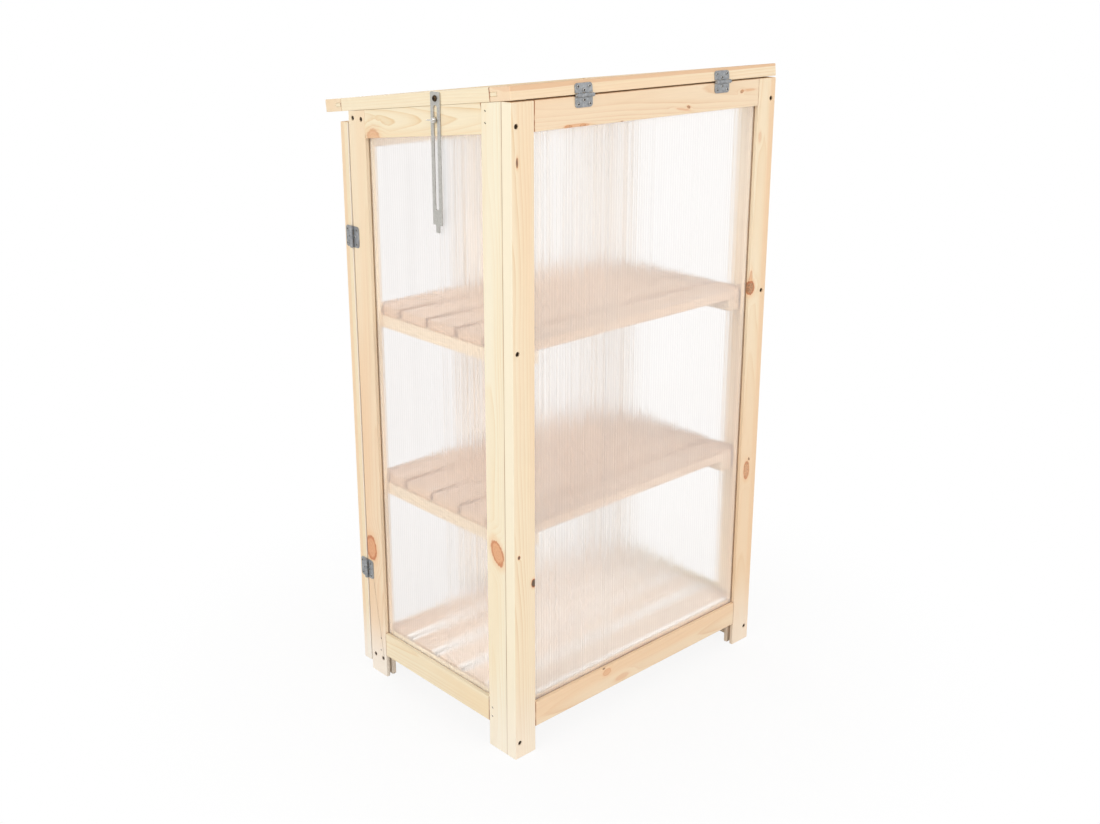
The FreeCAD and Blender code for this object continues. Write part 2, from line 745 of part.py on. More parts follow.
def build_hinges():
    """Leaves of the two lid hinges and the four door hinges, and all their pins."""
    leaf = hinge_leaves("lid_hinge_frame_leaves", FRAME_KNUCKLES, "lid_hinge_spacing")
    place(leaf, "0 * half_width", "lid_pin_y", "lid_pin_z", facing(-X, Y))
    leaf = hinge_leaves("lid_hinge_lid_leaves", MOVING_KNUCKLES, "lid_hinge_spacing")
    place(leaf, "0 * half_width", "lid_pin_y", "lid_pin_z", Rotation(-X, 80),
          "90 deg - atan(slope)")
    pins = [("hinge_pin_lid", "hinge_length", f"{side} * lid_hinge_spacing / 2",
             "lid_pin_y", "lid_pin_z", X) for side in (-1, 1)]
    for side, sign in (("right", 1), ("left", -1)):
        outward = X * sign
        leaf = hinge_leaves(f"{side}_door_hinge_frame_leaves", FRAME_KNUCKLES,
                            "door_hinge_spacing")
        place(leaf, f"{sign} * door_pin_x", "-door_pin_y", "door_pin_z",
              facing(Z * sign, outward))
        leaf = hinge_leaves(f"{side}_door_hinge_door_leaves", MOVING_KNUCKLES,
                            "door_hinge_spacing")
        place(leaf, f"{sign} * door_pin_x", "-door_pin_y", "door_pin_z",
              facing(Z * -sign, outward))
        pins += [("hinge_pin_" + side, "hinge_length", f"{sign} * door_pin_x",
                  "-door_pin_y", level, Z) for level in ("door_hinge_low",
                                                         "door_hinge_high")]
    group = doc.addObject("Part::Compound", "hinge_pins")
    group.Label = "hinge_pins"
    rods = []
    for name, length, x, y, z, along in pins:
        rod = doc.addObject("Part::Cylinder", name)
        bind(rod, "Radius", "pin_radius")
        bind(rod, "Height", f"{length} + 2 * pin_overhang")
        start = "(hinge_length / 2 + pin_overhang)"
        if along == X:
            place(rod, f"{x} - {start}", y, z, Rotation(Z, X))
        else:
            place(rod, x, y, f"{z} - {start}")
        rods.append(rod)
    group.Links = rods
    NODES.append(group)


# Lid stay on the right side: it swings on the lid and slides on a stud in the side panel

STAY_TURN = facing(Y, X)


def build_stay():
    """The slotted strip, drawn hanging down from its pivot."""
    stay = new_body("lid_stay_arm")
    sketch = sketch_on(stay)
    half, tip = "stay_width / 2", "stay_tip_width / 2"
    low = "stay_length + stay_tip_length"
    outline(sketch, [
        (f"-{half}", "stay_top"), (f"-{half}", "-stay_length"), (f"-{tip}", "-stay_length"),
        (f"-{tip}", f"-({low})"), (tip, f"-({low})"), (tip, "-stay_length"),
        (half, "-stay_length"), (half, "stay_top")])
    extrude(stay, "Pad", sketch, "stay_thickness", "One side")
    dress(stay, "Fillet", "Radius", "stay_corner", lambda edge: (
        upright(edge) and (edge.Vertexes[0].Y > 0
                           or edge.Vertexes[0].Y < number("-stay_length - stay_corner"))))
    zero = "0 * slot_width"
    first, last = "-slot_start - slot_width / 2", "-slot_end + slot_width / 2"
    sketch = sketch_on(stay)
    rectangle(sketch, "-slot_width / 2", last, "slot_width / 2", first)
    extrude(stay, "Pocket", sketch, "2 * stay_thickness", "One side", True)
    for end in (first, last):
        sketch = sketch_on(stay)
        circles(sketch, [(zero, end)], "slot_width")
        extrude(stay, "Pocket", sketch, "2 * stay_thickness", "One side", True)
    sketch = sketch_on(stay)
    circles(sketch, [(zero, zero)], "pivot_screw_shank + bore_play")
    extrude(stay, "Pocket", sketch, "2 * stay_thickness", "One side", True)
    place(stay, "half_width + stay_standoff", "pivot_y", "pivot_z", STAY_TURN)
    NODES.append(stay)


def build_stud():
    """The stud in the side panel's top rail, and its wing nut."""
    stud = doc.addObject("Part::Cylinder", "lid_stay_stud")
    stud.Label = "lid_stay_stud"
    bind(stud, "Radius", "stud_diameter / 2")
    bind(stud, "Height", "stud_length_in_wood + nut_base_x + nut_height + stud_overhang"
         " - half_width")
    place(stud, "half_width - stud_length_in_wood", "stud_y", "stud_z", Rotation(Z, X))
    NODES.append(stud)

    nut = new_body("lid_stay_wing_nut")
    zero = "0 * nut_diameter"
    sketch = sketch_on(nut)
    circles(sketch, [(zero, zero)], "nut_diameter")
    extrude(nut, "Pad", sketch, "nut_height", "One side")
    sketch = sketch_on(nut, "XZ_Plane")
    tip_in, tip_out = "wing_span / 2 - wing_tip", "wing_span / 2"
    outline(sketch, [
        ("-nut_diameter / 2", "nut_height * 0.1"), ("nut_diameter / 2", "nut_height * 0.1"),
        (tip_out, "wing_height - wing_tip"), (tip_out, "wing_height - wing_tip / 3"),
        (tip_in, "wing_height"), ("nut_diameter / 4", "nut_height * 0.8"),
        ("-nut_diameter / 4", "nut_height * 0.8"), (f"-({tip_in})", "wing_height"),
        (f"-({tip_out})", "wing_height - wing_tip / 3"),
        (f"-({tip_out})", "wing_height - wing_tip")])
    extrude(nut, "Pad", sketch, "wing_thickness")
    sketch = sketch_on(nut)
    circles(sketch, [(zero, zero)], SMALL_HOLE)
    extrude(nut, "Pocket", sketch, "wing_height", "One side", True)
    place(nut, "nut_base_x", "stud_y", "stud_z", STAY_TURN)
    NODES.append(nut)


# Screws: one turned shape, set at every place of a node's list

def screw(shank, head, head_height, length):
    """A pan-head screw about +z: the head stands on z = 0 and the shank goes down."""
    radius, head_radius, tall, deep = shank / 2, head / 2, head_height, length
    point = radius
    corners = [(0, -deep), (radius, -deep + point), (radius, 0), (head_radius, 0),
               (head_radius, tall * 0.6), (head_radius * 0.6, tall), (0, tall)]
    wire = Part.makePolygon([Vector(x, 0, z) for x, z in corners + corners[:1]])
    return Part.Face(wire).revolve(Vector(), Z, 360)


def screw_group(label, places):
    """A node of separate screws; each place is a screw, a point and an outward direction."""
    solids = []
    for solid, point, outward in places:
        copy = solid.copy()
        where = Vector(*[number(text) for text in point])
        copy.Placement = Placement(where, Rotation(Z, outward))
        solids.append(copy)
    group = doc.addObject("Part::Feature", label)
    group.Label = label
    group.Shape = Part.makeCompound(solids)
    group.Placement = Placement(Vector(number("shift_x"), number("shift_y"), 0), Rotation())
    NODES.append(group)


def build_screws():
    """All the screws, grouped by the body that carries them."""
    panel = screw(*[number(size) for size in (
        "panel_screw_shank", "panel_screw_head", "panel_screw_head_height",
        "panel_screw_length")])
    small = screw(*[number(size) for size in (
        "hinge_screw_shank", "hinge_screw_head", "hinge_screw_head_height",
        "hinge_screw_length + leaf_thickness - screw_tip_gap")])
    pivot = screw(*[number(size) for size in (
        "pivot_screw_shank", "pivot_screw_head", "pivot_screw_head_height",
        "pivot_screw_depth + stay_standoff + stay_thickness + stack_gap - screw_tip_gap")])
    knob = screw(*[number(size) for size in (
        "stud_diameter", "button_screw_head", "pivot_screw_head_height",
        "timber_thickness + knob_screw_depth - screw_tip_gap")])
    button = screw(*[number(size) for size in (
        "stud_diameter", "button_screw_head", "pivot_screw_head_height",
        "button_thickness + button_standoff + stack_gap + hinge_screw_length"
        " - screw_tip_gap")])

    cabinet = []
    for sign in (-1, 1):
        for row in BACK_SCREW_ROWS:
            cabinet.append((panel, (f"{sign} * (half_width - half_thick)", "-recess_depth",
                                    row), Y))
        for depth in CROSSRAIL_SCREW_DEPTHS:
            for level in ("crossrail_top_z", "crossrail_bottom_z"):
                cabinet.append((panel, (f"{sign} * (half_width - recess_depth)",
                                        f"-timber_thickness - ({depth})", level), X * sign))
        for along, row in LEAF_SCREWS:
            cabinet.append((small, (f"{sign} * lid_hinge_spacing / 2 + {along}",
                                    "lid_pin_play + leaf_thickness",
                                    f"lid_pin_z - {row}"), Y))
            for level in ("door_hinge_low", "door_hinge_high"):
                cabinet.append((small, (f"{sign} * (half_width + leaf_thickness)",
                                        f"-door_pin_y + {row}",
                                        f"{level} + {along}"), X * sign))
    screw_group("cabinet_screws", cabinet)

    rise, run = number("1 / slant"), number("slope / slant")
    outward = Vector(0, rise, run)
    out = "(leaf_thickness - knuckle_radius)"
    screw_group("lid_hinge_screws", [
        (small, (f"{sign} * lid_hinge_spacing / 2 + {along}",
                 f"lid_pin_y + ({out} - {row} * slope) / slant",
                 f"lid_pin_z + ({out} * slope + {row}) / slant"), outward)
        for sign in (-1, 1) for along, row in LEAF_SCREWS])
    screw_group("lid_stay_pivot_screw",
                [(pivot, ("stay_outer_x + stack_gap", "pivot_y", "pivot_z"), X)])
    for side, sign in (("right", 1), ("left", -1)):
        places = [(small, (f"{sign} * (half_width + leaf_thickness)",
                           f"-door_pin_y - {row}", f"{level} + {along}"), X * sign)
                  for level in ("door_hinge_low", "door_hinge_high")
                  for along, row in LEAF_SCREWS]
        places.append((knob, (f"{sign} * (meeting_gap / 2 + knob_along)", "-door_inner_y",
                              "knob_height"), Y))
        screw_group(side + "_door_screws", places)
    screw_group("turn_button_screw", [(button, (
        "meeting_gap / 2 + knob_along", "-(button_face_y + stack_gap)", "button_height"),
        -Y)])


# Build, check and write

def faults():
    """Every object that failed, and every node whose shape is empty or not valid."""
    doc.recompute()
    broken = [item.Name for item in doc.Objects
              if "Invalid" in item.State or "Error" in item.State]
    for node in NODES:
        shape = node.Shape
        if shape.isNull() or not shape.isValid() or not shape.Solids:
            broken.append(node.Label + " (shape)")
    return broken


build_back_panel()
build_side_panel("right", -1)
build_side_panel("left", 1)
build_crossrails()
build_door("right")
build_door("left")
build_lid()
build_level("upper_shelf_slats", "upper_shelf", "upper_cleat_top")
build_level("middle_shelf_slats", "middle_shelf", "middle_cleat_top")
build_level("floor_slats", "floor", "floor_cleat_top")
build_hinges()
build_stay()
build_stud()
build_knob("right", "meeting_gap / 2 + knob_along")
build_knob("left", "-(meeting_gap / 2 + knob_along)")
build_turn_button()
doc.recompute()
build_screws()

problems = faults()
if problems:
    raise RuntimeError("failed objects: " + ", ".join(problems))

os.makedirs("parts", exist_ok=True)
for node in NODES:
    node.Shape.exportStep(f"parts/{node.Label}.step")

whole = Part.makeCompound([node.Shape for node in NODES]).BoundBox
print(f"{len(NODES)} nodes, outline x {whole.XMin:.2f} to {whole.XMax:.2f}, "
      f"y {whole.YMin:.2f} to {whole.YMax:.2f}, z {whole.ZMin:.2f} to {whole.ZMax:.2f}")
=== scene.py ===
"""The looks of the wooden mini greenhouse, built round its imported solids. Metres, +Z up.

Boards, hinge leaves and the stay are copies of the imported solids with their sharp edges
eased. Sheets, screws, nails, hinge pins, the stud and the wing nut are surfaces worked out
here, each on its own grid of points. The knobs and the turn button keep their solids.
"""

import json
import math

import bmesh
import bpy
import numpy as np
from mathutils import Matrix, Vector

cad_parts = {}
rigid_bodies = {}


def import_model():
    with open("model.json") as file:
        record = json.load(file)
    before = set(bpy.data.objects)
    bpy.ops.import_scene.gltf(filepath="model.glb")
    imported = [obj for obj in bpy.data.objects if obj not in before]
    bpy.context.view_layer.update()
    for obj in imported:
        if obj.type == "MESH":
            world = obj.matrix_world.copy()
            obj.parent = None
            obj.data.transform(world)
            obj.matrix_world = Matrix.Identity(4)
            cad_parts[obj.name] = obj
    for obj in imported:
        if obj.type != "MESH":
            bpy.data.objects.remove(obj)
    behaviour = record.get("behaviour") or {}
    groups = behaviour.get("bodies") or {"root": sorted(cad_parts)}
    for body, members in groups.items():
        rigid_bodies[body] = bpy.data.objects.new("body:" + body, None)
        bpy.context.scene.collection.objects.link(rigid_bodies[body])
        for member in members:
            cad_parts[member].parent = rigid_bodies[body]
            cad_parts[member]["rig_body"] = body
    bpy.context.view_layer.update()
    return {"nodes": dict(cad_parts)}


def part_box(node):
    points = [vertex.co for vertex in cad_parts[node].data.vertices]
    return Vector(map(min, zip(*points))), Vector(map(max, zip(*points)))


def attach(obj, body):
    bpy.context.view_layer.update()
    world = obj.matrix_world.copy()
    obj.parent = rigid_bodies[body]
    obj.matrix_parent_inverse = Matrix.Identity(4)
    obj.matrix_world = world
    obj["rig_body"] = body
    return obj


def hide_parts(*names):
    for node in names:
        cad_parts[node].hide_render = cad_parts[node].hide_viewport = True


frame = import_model()

MM = 0.001

# The carcass in mm: half its width, and where its middle and its back face lie in the frame
HALF = 290
OFF_X, OFF_Y = -2.95, 221.505
BACK_Y = OFF_Y * MM
RIGHT_X = (HALF + OFF_X) * MM

# The lid falls 43 mm over the 366 mm between the back face and the side panels' front edge
FALL = 43 / 366
SLOPE = math.atan(FALL)


# Nodes of a material

def tint(red, green, blue):
    """A colour written in screen values of 0 to 255, as linear light."""
    screen = np.array([red, green, blue]) / 255
    linear = np.where(screen <= 0.04045, screen / 12.92, ((screen + 0.055) / 1.055) ** 2.4)
    return (*linear.tolist(), 1.0)


class Finish:
    """Builds the nodes of a material or the world. Most calls return an output socket."""

    def __init__(self, name, owners=bpy.data.materials):
        self.owner = owners.new(name)
        self.owner.use_nodes = True
        self.tree = self.owner.node_tree
        self.tree.nodes.clear()

    def node(self, kind, *values, **settings):
        """A new node. values are plain values or outputs for its first inputs, or None."""
        made = self.tree.nodes.new("ShaderNode" + kind)
        for key, value in settings.items():
            setattr(made, key, value)
        for socket, value in zip(made.inputs, values):
            self.feed(socket, value)
        return made

    def feed(self, socket, value):
        """Links an output to an input socket, or writes a plain value there."""
        if isinstance(value, bpy.types.NodeSocket):
            self.tree.links.new(value, socket)
        elif value is not None:
            socket.default_value = value

    def place(self, output="Object"):
        """The object's own coordinates, or its normal."""
        return self.node("TexCoord").outputs[output]

    def axes(self, where):
        """The x, y and z outputs of a vector."""
        return self.node("SeparateXYZ", where).outputs

    def joined(self, x, y, z):
        """A vector from its x, y and z."""
        return self.node("CombineXYZ", x, y, z).outputs[0]

    def seen_from(self, where, centre, turn, size=(1, 1, 1)):
        """A place in the axes of something that lies at centre, turned and sized."""
        return self.node("Mapping", where, centre, turn, size,
                         vector_type="TEXTURE").outputs[0]

    def math(self, operation, first, second=None, third=None, clamp=False):
        """A sum, product or other function of up to three numbers."""
        return self.node("Math", first, second, third, operation=operation,
                         use_clamp=clamp).outputs[0]

    def times(self, first, second, more=0.0):
        """The product of two numbers, plus a third."""
        return self.math("MULTIPLY_ADD", first, second, more)

    def away(self, value, middle):
        """How far a number lies from a middle."""
        return self.math("ABSOLUTE", self.math("SUBTRACT", value, middle))

    def vector(self, operation, first, second=None, output="Vector"):
        """A sum, product or other function of two vectors."""
        return self.node("VectorMath", first, second, operation=operation).outputs[output]

    def noise(self, where, scale, detail=2.0, roughness=0.5):
        """Noise from 0 to 1; scale is its fineness along each axis of where."""
        return self.node("TexNoise", self.vector("MULTIPLY", where, scale), None, 1.0,
                         detail, roughness).outputs["Fac"]

    def span(self, value, low, high, to_low=0.0, to_high=1.0, smooth=True):
        """Maps low..high to to_low..to_high, clamped."""
        return self.node("MapRange", value, low, high, to_low, to_high,
                         interpolation_type="SMOOTHSTEP" if smooth else "LINEAR").outputs[0]

    def curve(self, value, stops):
        """A grey value through pairs of place and brightness."""
        made = self.node("ValToRGB", value)
        points = made.color_ramp.elements
        while len(points) < len(stops):
            points.new(0.5)
        for point, (where, grey) in zip(points, stops):
            point.position = where
            point.color = (grey, grey, grey, 1)
        return made.outputs[0]

    def blend(self, factor, first, second, mode="MIX"):
        """The first colour at factor 0, the second at 1."""
        # A mix node has its colours at inputs 6 and 7, and their mix at output 2
        made = self.node("Mix", data_type="RGBA", blend_type=mode, clamp_factor=True)
        self.feed(made.inputs[0], factor)
        self.feed(made.inputs[6], first)
        self.feed(made.inputs[7], second)
        return made.outputs[2]

    def bump(self, height):
        """A bump whose height is in metres."""
        made = self.node("Bump", 1.0, 1.0)
        self.feed(made.inputs["Height"], height)
        return made.outputs[0]

    def mixed(self, factor, first, second):
        """The first shader at factor 0, the second at 1."""
        return self.node("MixShader", factor, first, second).outputs[0]

    def surface(self, **inputs):
        """A principled shader; an underscore stands for a space in an input's name."""
        made = self.node("BsdfPrincipled")
        for name, value in inputs.items():
            self.feed(made.inputs[name.replace("_", " ")], value)
        return made.outputs[0]

    def close(self, shader, output="OutputMaterial"):
        """Links the last shader to the output and returns the material or world."""
        self.tree.links.new(shader, self.node(output).inputs["Surface"])
        return self.owner


# Pine

# Early wood, late wood and the warmer tone that drifts through a board
PALE = (tint(253, 243, 217), tint(240, 212, 166), tint(251, 233, 199))
CREAM = (tint(251, 236, 205), tint(236, 203, 154), tint(249, 225, 186))
PEACH = (tint(252, 233, 202), tint(234, 199, 152), tint(250, 220, 183))
AMBER = (tint(249, 225, 193), tint(231, 189, 146), tint(247, 211, 172))
# One pine painted in three lights: darker on the shelves as painted shade, paler on cleats and
# floor
SHADED_SHELF = (tint(217, 186, 157), tint(197, 159, 127), tint(211, 177, 145))
FLOOR = (tint(240, 222, 203), tint(226, 199, 173), tint(237, 214, 192))
LIT_CLEAT = (tint(234, 211, 177), tint(216, 184, 147), tint(229, 203, 166))

# Knots, dark joints with painted shade in their cracks, cut ends, painted light and shade, and
# the milk of the sheets
KNOT_RING = tint(198, 118, 74)
KNOT_HEART = tint(234, 176, 131)
KNOT_HALO = tint(240, 190, 140)
KNOT_DARK = tint(104, 84, 66)
# Dark joints, partly painted shade in the cracks between boards and in the grooves
JOINT_AND_CRACK_SHADE = tint(160, 98, 58)
HALO_PEACH = tint(243, 207, 168)
# Painted shade along the top of the lid's back rail
LID_EDGE_SHADE = tint(233, 190, 150)
END_TONE = tint(246, 217, 184)
# Painted light from the floor, on the feet of the posts
FLOOR_LIGHT_TONE = tint(255, 246, 232)
# Painted highlight: the floor slats' gap edges and the feet of two front stiles
PAINTED_HIGHLIGHT = tint(255, 253, 249)
# Painted shade along the gaps between the shelves' slats
SHADED = tint(158, 118, 90)
# Painted shade: the greyer look of the doors' backs and the left front stile's inner face
INNER_FACE_SHADE = tint(246, 236, 222)
MILK = tint(252, 248, 246)
DIM_MILK = tint(234, 228, 225)
# Painted warm shade: the milk's tone by the grooves, like the boards
LIP_WARM_SHADE = tint(250, 208, 166)

# For sheets whose flutes follow each other along x, then along y: the tone of the milk,
# where the fine streaks start and stop to grow, how strong they are at the start, and how
# many there are in a flute
SHEET_LOOKS = (MILK, -0.1, 0.15, 0.5, 8), (DIM_MILK, -0.02, 0.13, 0.15, 4)

# The way a board runs, and the turn that lays its own z that way
RUNS = {
    "up": (Vector((0, 0, 1)), (0.0, 0.0, 0.0)),
    "across": (Vector((1, 0, 0)), (0.0, math.pi / 2, 0.0)),
    "deep": (Vector((0, 1, 0)), (-math.pi / 2, 0.0, 0.0)),
    "sloped": (Vector((0, math.cos(SLOPE), math.sin(SLOPE))),
               (-(math.pi / 2 - SLOPE), 0.0, 0.0)),
}

# How fine each noise of the pine is: twice across the grain, then along it
SLOW_BENDS = (16, 16, 2.4)
FINE_BENDS = (130, 130, 9)
PATCHES = (40, 40, 3.5)
WARM_DRIFT = (24, 24, 1.6)
FIBRES = (1400, 1400, 26)
JOINT_PATCHES = (60, 60, 9)
KNOT_EDGE = (300, 300, 120)
KNOT_SPECKS = (900, 900, 500)
KNOT_MOTTLE = (420, 420, 260)

# How far the noises push the growth rings, and the darkness over one ring
SLOW_BEND = 11 * MM
FINE_BEND = 0.7 * MM
RING_SHADE = [(0.0, 0.0), (0.4, 0.1), (0.78, 0.5), (0.92, 1.0), (1.0, 0.0)]

# A shift for each board of a row, so that no two show the same grain
ROW_SHIFT = (0.013, 0.029, 0.83)
GRAIN_RELIEF = 0.03 * MM

# A knot further out than this lies on a side face, and leans about x
SIDE_FACE_X = 0.28


def paint_knots(board, colour, drift, masks):
    """Each knot has a warm halo, a swirl of rings round its heart, dark specks and a rim."""
    for near, dark, strong in masks:
        halo = board.span(near, 1.0, 1.9, 0.5 * strong, 0.0)
        colour = board.blend(halo, colour, KNOT_HALO)
        swirl = board.math("FRACT", board.times(near, 3.6))
        speckle = board.noise(drift, KNOT_SPECKS, 2.0)
        swirl = board.times(swirl, board.span(speckle, 0.3, 0.7, 0.1, 0.65))
        heart = board.blend(swirl, KNOT_HEART, KNOT_RING)
        mottle = board.span(board.noise(drift, KNOT_MOTTLE, 3.0, 0.7), 0.35, 0.62,
                            min(1.0, 1.6 * dark), max(0.0, 1.6 * dark - 0.6))
        heart = board.blend(mottle, heart, KNOT_DARK)
        soft = 0.06 + 0.5 * (1 - strong)
        colour = board.blend(board.span(near, 1.02 - soft, 1.02 + soft, strong, 0.0), colour,
                             heart)
        rim = board.math("SUBTRACT", board.span(near, 0.74, 0.9), board.span(near, 0.98, 1.12))
        colour = board.blend(board.math("MULTIPLY", rim, 0.8 * strong ** 2, clamp=True),
                             colour, KNOT_RING)
    return colour


def darken_joints_and_cracks(board, colour, drift, spot, length, half, seams):
    """Darkens the wood at its shoulders, half away from the middle, and at its seams."""
    # Darker joints and seams, partly painted shade of the cracks and grooves
    shoulder = board.math("SUBTRACT", half, board.math("ABSOLUTE", length))
    joint = board.span(board.math("ABSOLUTE", shoulder), 0.9 * MM, 1.8 * MM, 1.0, 0.0)
    patch = board.span(board.noise(drift, JOINT_PATCHES), 0.3, 0.65, 0.3, 0.95)
    joint = board.times(joint, board.span(patch, 0.2, 0.7, 0.45, 0.95))
    for axis, where, reach, amount, inner in seams:
        gap = board.away(spot[axis], where)
        line = board.times(board.span(gap, 0.8 * reach, reach, amount, 0.0), patch)
        if inner:
            inner_axis, border, sign = inner
            depth = board.times(board.math("SUBTRACT", spot[inner_axis], border), sign)
            line = board.times(line, board.span(depth, 0.0, MM))
        joint = board.math("MAXIMUM", joint, line)
    return board.blend(joint, colour, JOINT_AND_CRACK_SHADE)


def pine(name, run, centre, pith, tones, seed, half=1.0, ring=3.1, tilt=0.012,
         contrast=0.8, knots=(), seams=(), stripes=(), rows=None, edges=None,
         feet=False, end_tone=END_TONE):
    """Planed pine. Growth rings are cylinders round a pith that lies off the board's
    middle and leans by tilt, bent by slow noise, and pushed outwards round each knot.

    pith and ring, the width of a growth ring, are in millimetres, and pith is taken from the
    board's middle. knots are (point, size along the run, size across it, lean, dark,
    strength). rows is the pitch and start in y of boards side by side, and edges the painted
    shade or highlight along their long edges, by the gaps: its colour and amount, the share of
    the pitch from a board's middle where it starts, and the place in y where it stops. feet is
    for posts that are painted paler towards the floor, as light from the floor.
    The wood is darker in the joints, partly as painted shade in their cracks and grooves: at
    its shoulders, half away from the middle, and at seams, which are (axis, place, reach,
    amount, inner). inner is None or (axis, place, sign), and keeps the seam to that side.
    stripes are (axis, start, stop, colour, amount, wobble), where the colour grows in from
    start to stop, and the slow noise moves its edge by wobble; some stripes are painted light
    or shade.
    """
    early, late, warm = tones
    along, turn = RUNS[run]
    board = Finish(name)
    place = board.place()
    spot = board.axes(place)
    local = board.seen_from(place, centre, turn)
    length = board.axes(local)[2]
    offset = np.random.default_rng(seed).uniform(-3, 3, 3).tolist()
    if rows:
        pitch, start = rows
        share = board.math("DIVIDE", board.math("SUBTRACT", spot[1], start), pitch)
        index = board.math("FLOOR", share)
        shift = board.joined(*[board.times(index, step) for step in ROW_SHIFT])
        local = board.vector("ADD", local, shift)
    drift = board.vector("ADD", local, offset)

    turned = Matrix.Rotation(turn[0], 3, "X") if turn[0] else Matrix.Rotation(turn[1], 3, "Y")
    pith_local = turned.inverted() @ (Vector(pith) * MM)
    flat = board.vector("MULTIPLY", local, (1, 1, 0))
    from_pith = board.vector("SUBTRACT", flat, (pith_local.x, pith_local.y, 0))
    radius = board.vector("LENGTH", from_pith, output="Value")
    radius = board.times(length, tilt, radius)
    slow = board.noise(drift, SLOW_BENDS)
    radius = board.times(slow, SLOW_BEND, radius)
    radius = board.times(board.noise(drift, FINE_BENDS), FINE_BEND, radius)

    masks = []
    for point, tall, wide, lean, dark, strong in knots:
        leaning = Matrix.Rotation(lean, 3, "X" if abs(point[0]) > SIDE_FACE_X else "Y")
        away = board.seen_from(place, point, (leaning @ turned).to_euler(),
                               Vector((wide, wide, tall)) * MM)
        rough = board.noise(drift, KNOT_EDGE, 3.0)
        near = board.math("ADD", board.vector("LENGTH", away, output="Value"),
                          board.times(rough, 0.5, -0.25))
        bend = board.span(near, 0.6, 3.2, max(wide, 3) * 0.55 * MM, 0.0)
        radius = board.math("ADD", radius, bend)
        masks.append((near, dark, strong))

    grain = board.curve(board.math("FRACT", board.math("DIVIDE", radius, ring * MM)), RING_SHADE)
    patchy = board.noise(drift, PATCHES)
    strength = board.times(grain, board.span(patchy, 0.3, 0.75, 0.25, 1.0))
    colour = board.blend(board.times(strength, contrast), early, late)
    broad = board.noise(drift, WARM_DRIFT, 1.0)
    colour = board.blend(board.span(broad, 0.42, 0.68, 0.0, 0.75), colour, warm)
    fibre = board.noise(drift, FIBRES, 3.0, 0.6)
    shade = board.span(fibre, 0.25, 0.8, 0.95, 1.02, smooth=False)
    colour = board.blend(1.0, colour, board.joined(shade, shade, shade), "MULTIPLY")

    for axis, start, stop, tone, amount, wobble in stripes:
        edge = board.times(board.math("SUBTRACT", slow, 0.5), wobble, spot[axis])
        colour = board.blend(board.span(edge, start, stop, 0.0, amount), colour, tone)
    colour = paint_knots(board, colour, drift, masks)
    colour = darken_joints_and_cracks(board, colour, drift, spot, length, half, seams)
    # Painted light: posts grow paler towards the floor, as if lit from it
    if feet:
        colour = board.blend(board.span(spot[2], 0.0, 0.16, 0.55, 0.0), colour, FLOOR_LIGHT_TONE)
    # Painted shade or highlight on the slats' long edges, beside the gaps between them
    if edges:
        gap_light_tone, amount, first, last = edges
        edge = board.away(board.math("FRACT", share), 0.5)
        edge = board.span(edge, first, first + 0.06, 0.0, amount)
        edge = board.times(edge, board.math("LESS_THAN", spot[1], last))
        colour = board.blend(edge, colour, gap_light_tone)

    facing = board.vector("DOT_PRODUCT", board.place("Normal"), tuple(along), "Value")
    cut_end = board.span(board.math("ABSOLUTE", facing), 0.8, 0.95, 0.0, 0.55)
    colour = board.blend(cut_end, colour, end_tone)

    height = board.times(fibre, GRAIN_RELIEF, board.times(grain, -GRAIN_RELIEF))
    rough = board.span(patchy, 0.2, 0.8, 0.42, 0.6)
    return board.close(board.surface(Base_Color=colour, Roughness=rough,
                                     Specular_IOR_Level=0.35, Normal=board.bump(height)))


# Metal and sheet

# How fine the crystals, the dull spots and the scratches of plated steel are
CRYSTALS = 420
DULL_SPOTS = (160, 160, 160)
SCRATCHES = (2400, 2400, 300)
SCRATCH_RELIEF = 0.01 * MM


def zinc(name, pale, deep, seed, roughness=(0.32, 0.55)):
    """Plated steel: small crystal patches, fine scratches and duller worn spots."""
    plate = Finish(name)
    place = plate.vector("ADD", plate.place(), (seed, 0, 0))
    cells = plate.node("TexVoronoi", place, None, CRYSTALS)
    patch = plate.node("SeparateColor", cells.outputs["Color"])
    dull = plate.noise(place, DULL_SPOTS, 4.0, 0.6)
    mixed = plate.times(patch.outputs[0], 0.4, plate.times(dull, 0.6))
    colour = plate.blend(mixed, pale, deep)
    height = plate.times(plate.noise(place, SCRATCHES, 2.0), SCRATCH_RELIEF)
    low, high = roughness
    rough = plate.times(dull, high - low, low)
    return plate.close(plate.surface(Base_Color=colour, Metallic=0.85, Roughness=rough,
                                     Normal=plate.bump(height)))


# Width of one hollow of the twin-wall sheet, and how deep its pull on the light and its
# finer streaks are
FLUTE = 5.5 * MM
PULL = 0.38 * MM
RIPPLE = 0.17 * MM
RIPPLE_GAIN = 2.3

# Share of milk in the clear skin, from cloud to cloud, and what each rib adds to it
VEIL = (0.31, 0.36)
RIB_VEIL = 0.05

# How far a sheet stands in its grooves, and how wide and how much its milk thins out there
BITE = 12 * MM
LIP_WIDTH = 4 * MM
LIP_THIN = 0.5
NO_FOOT = -1.0


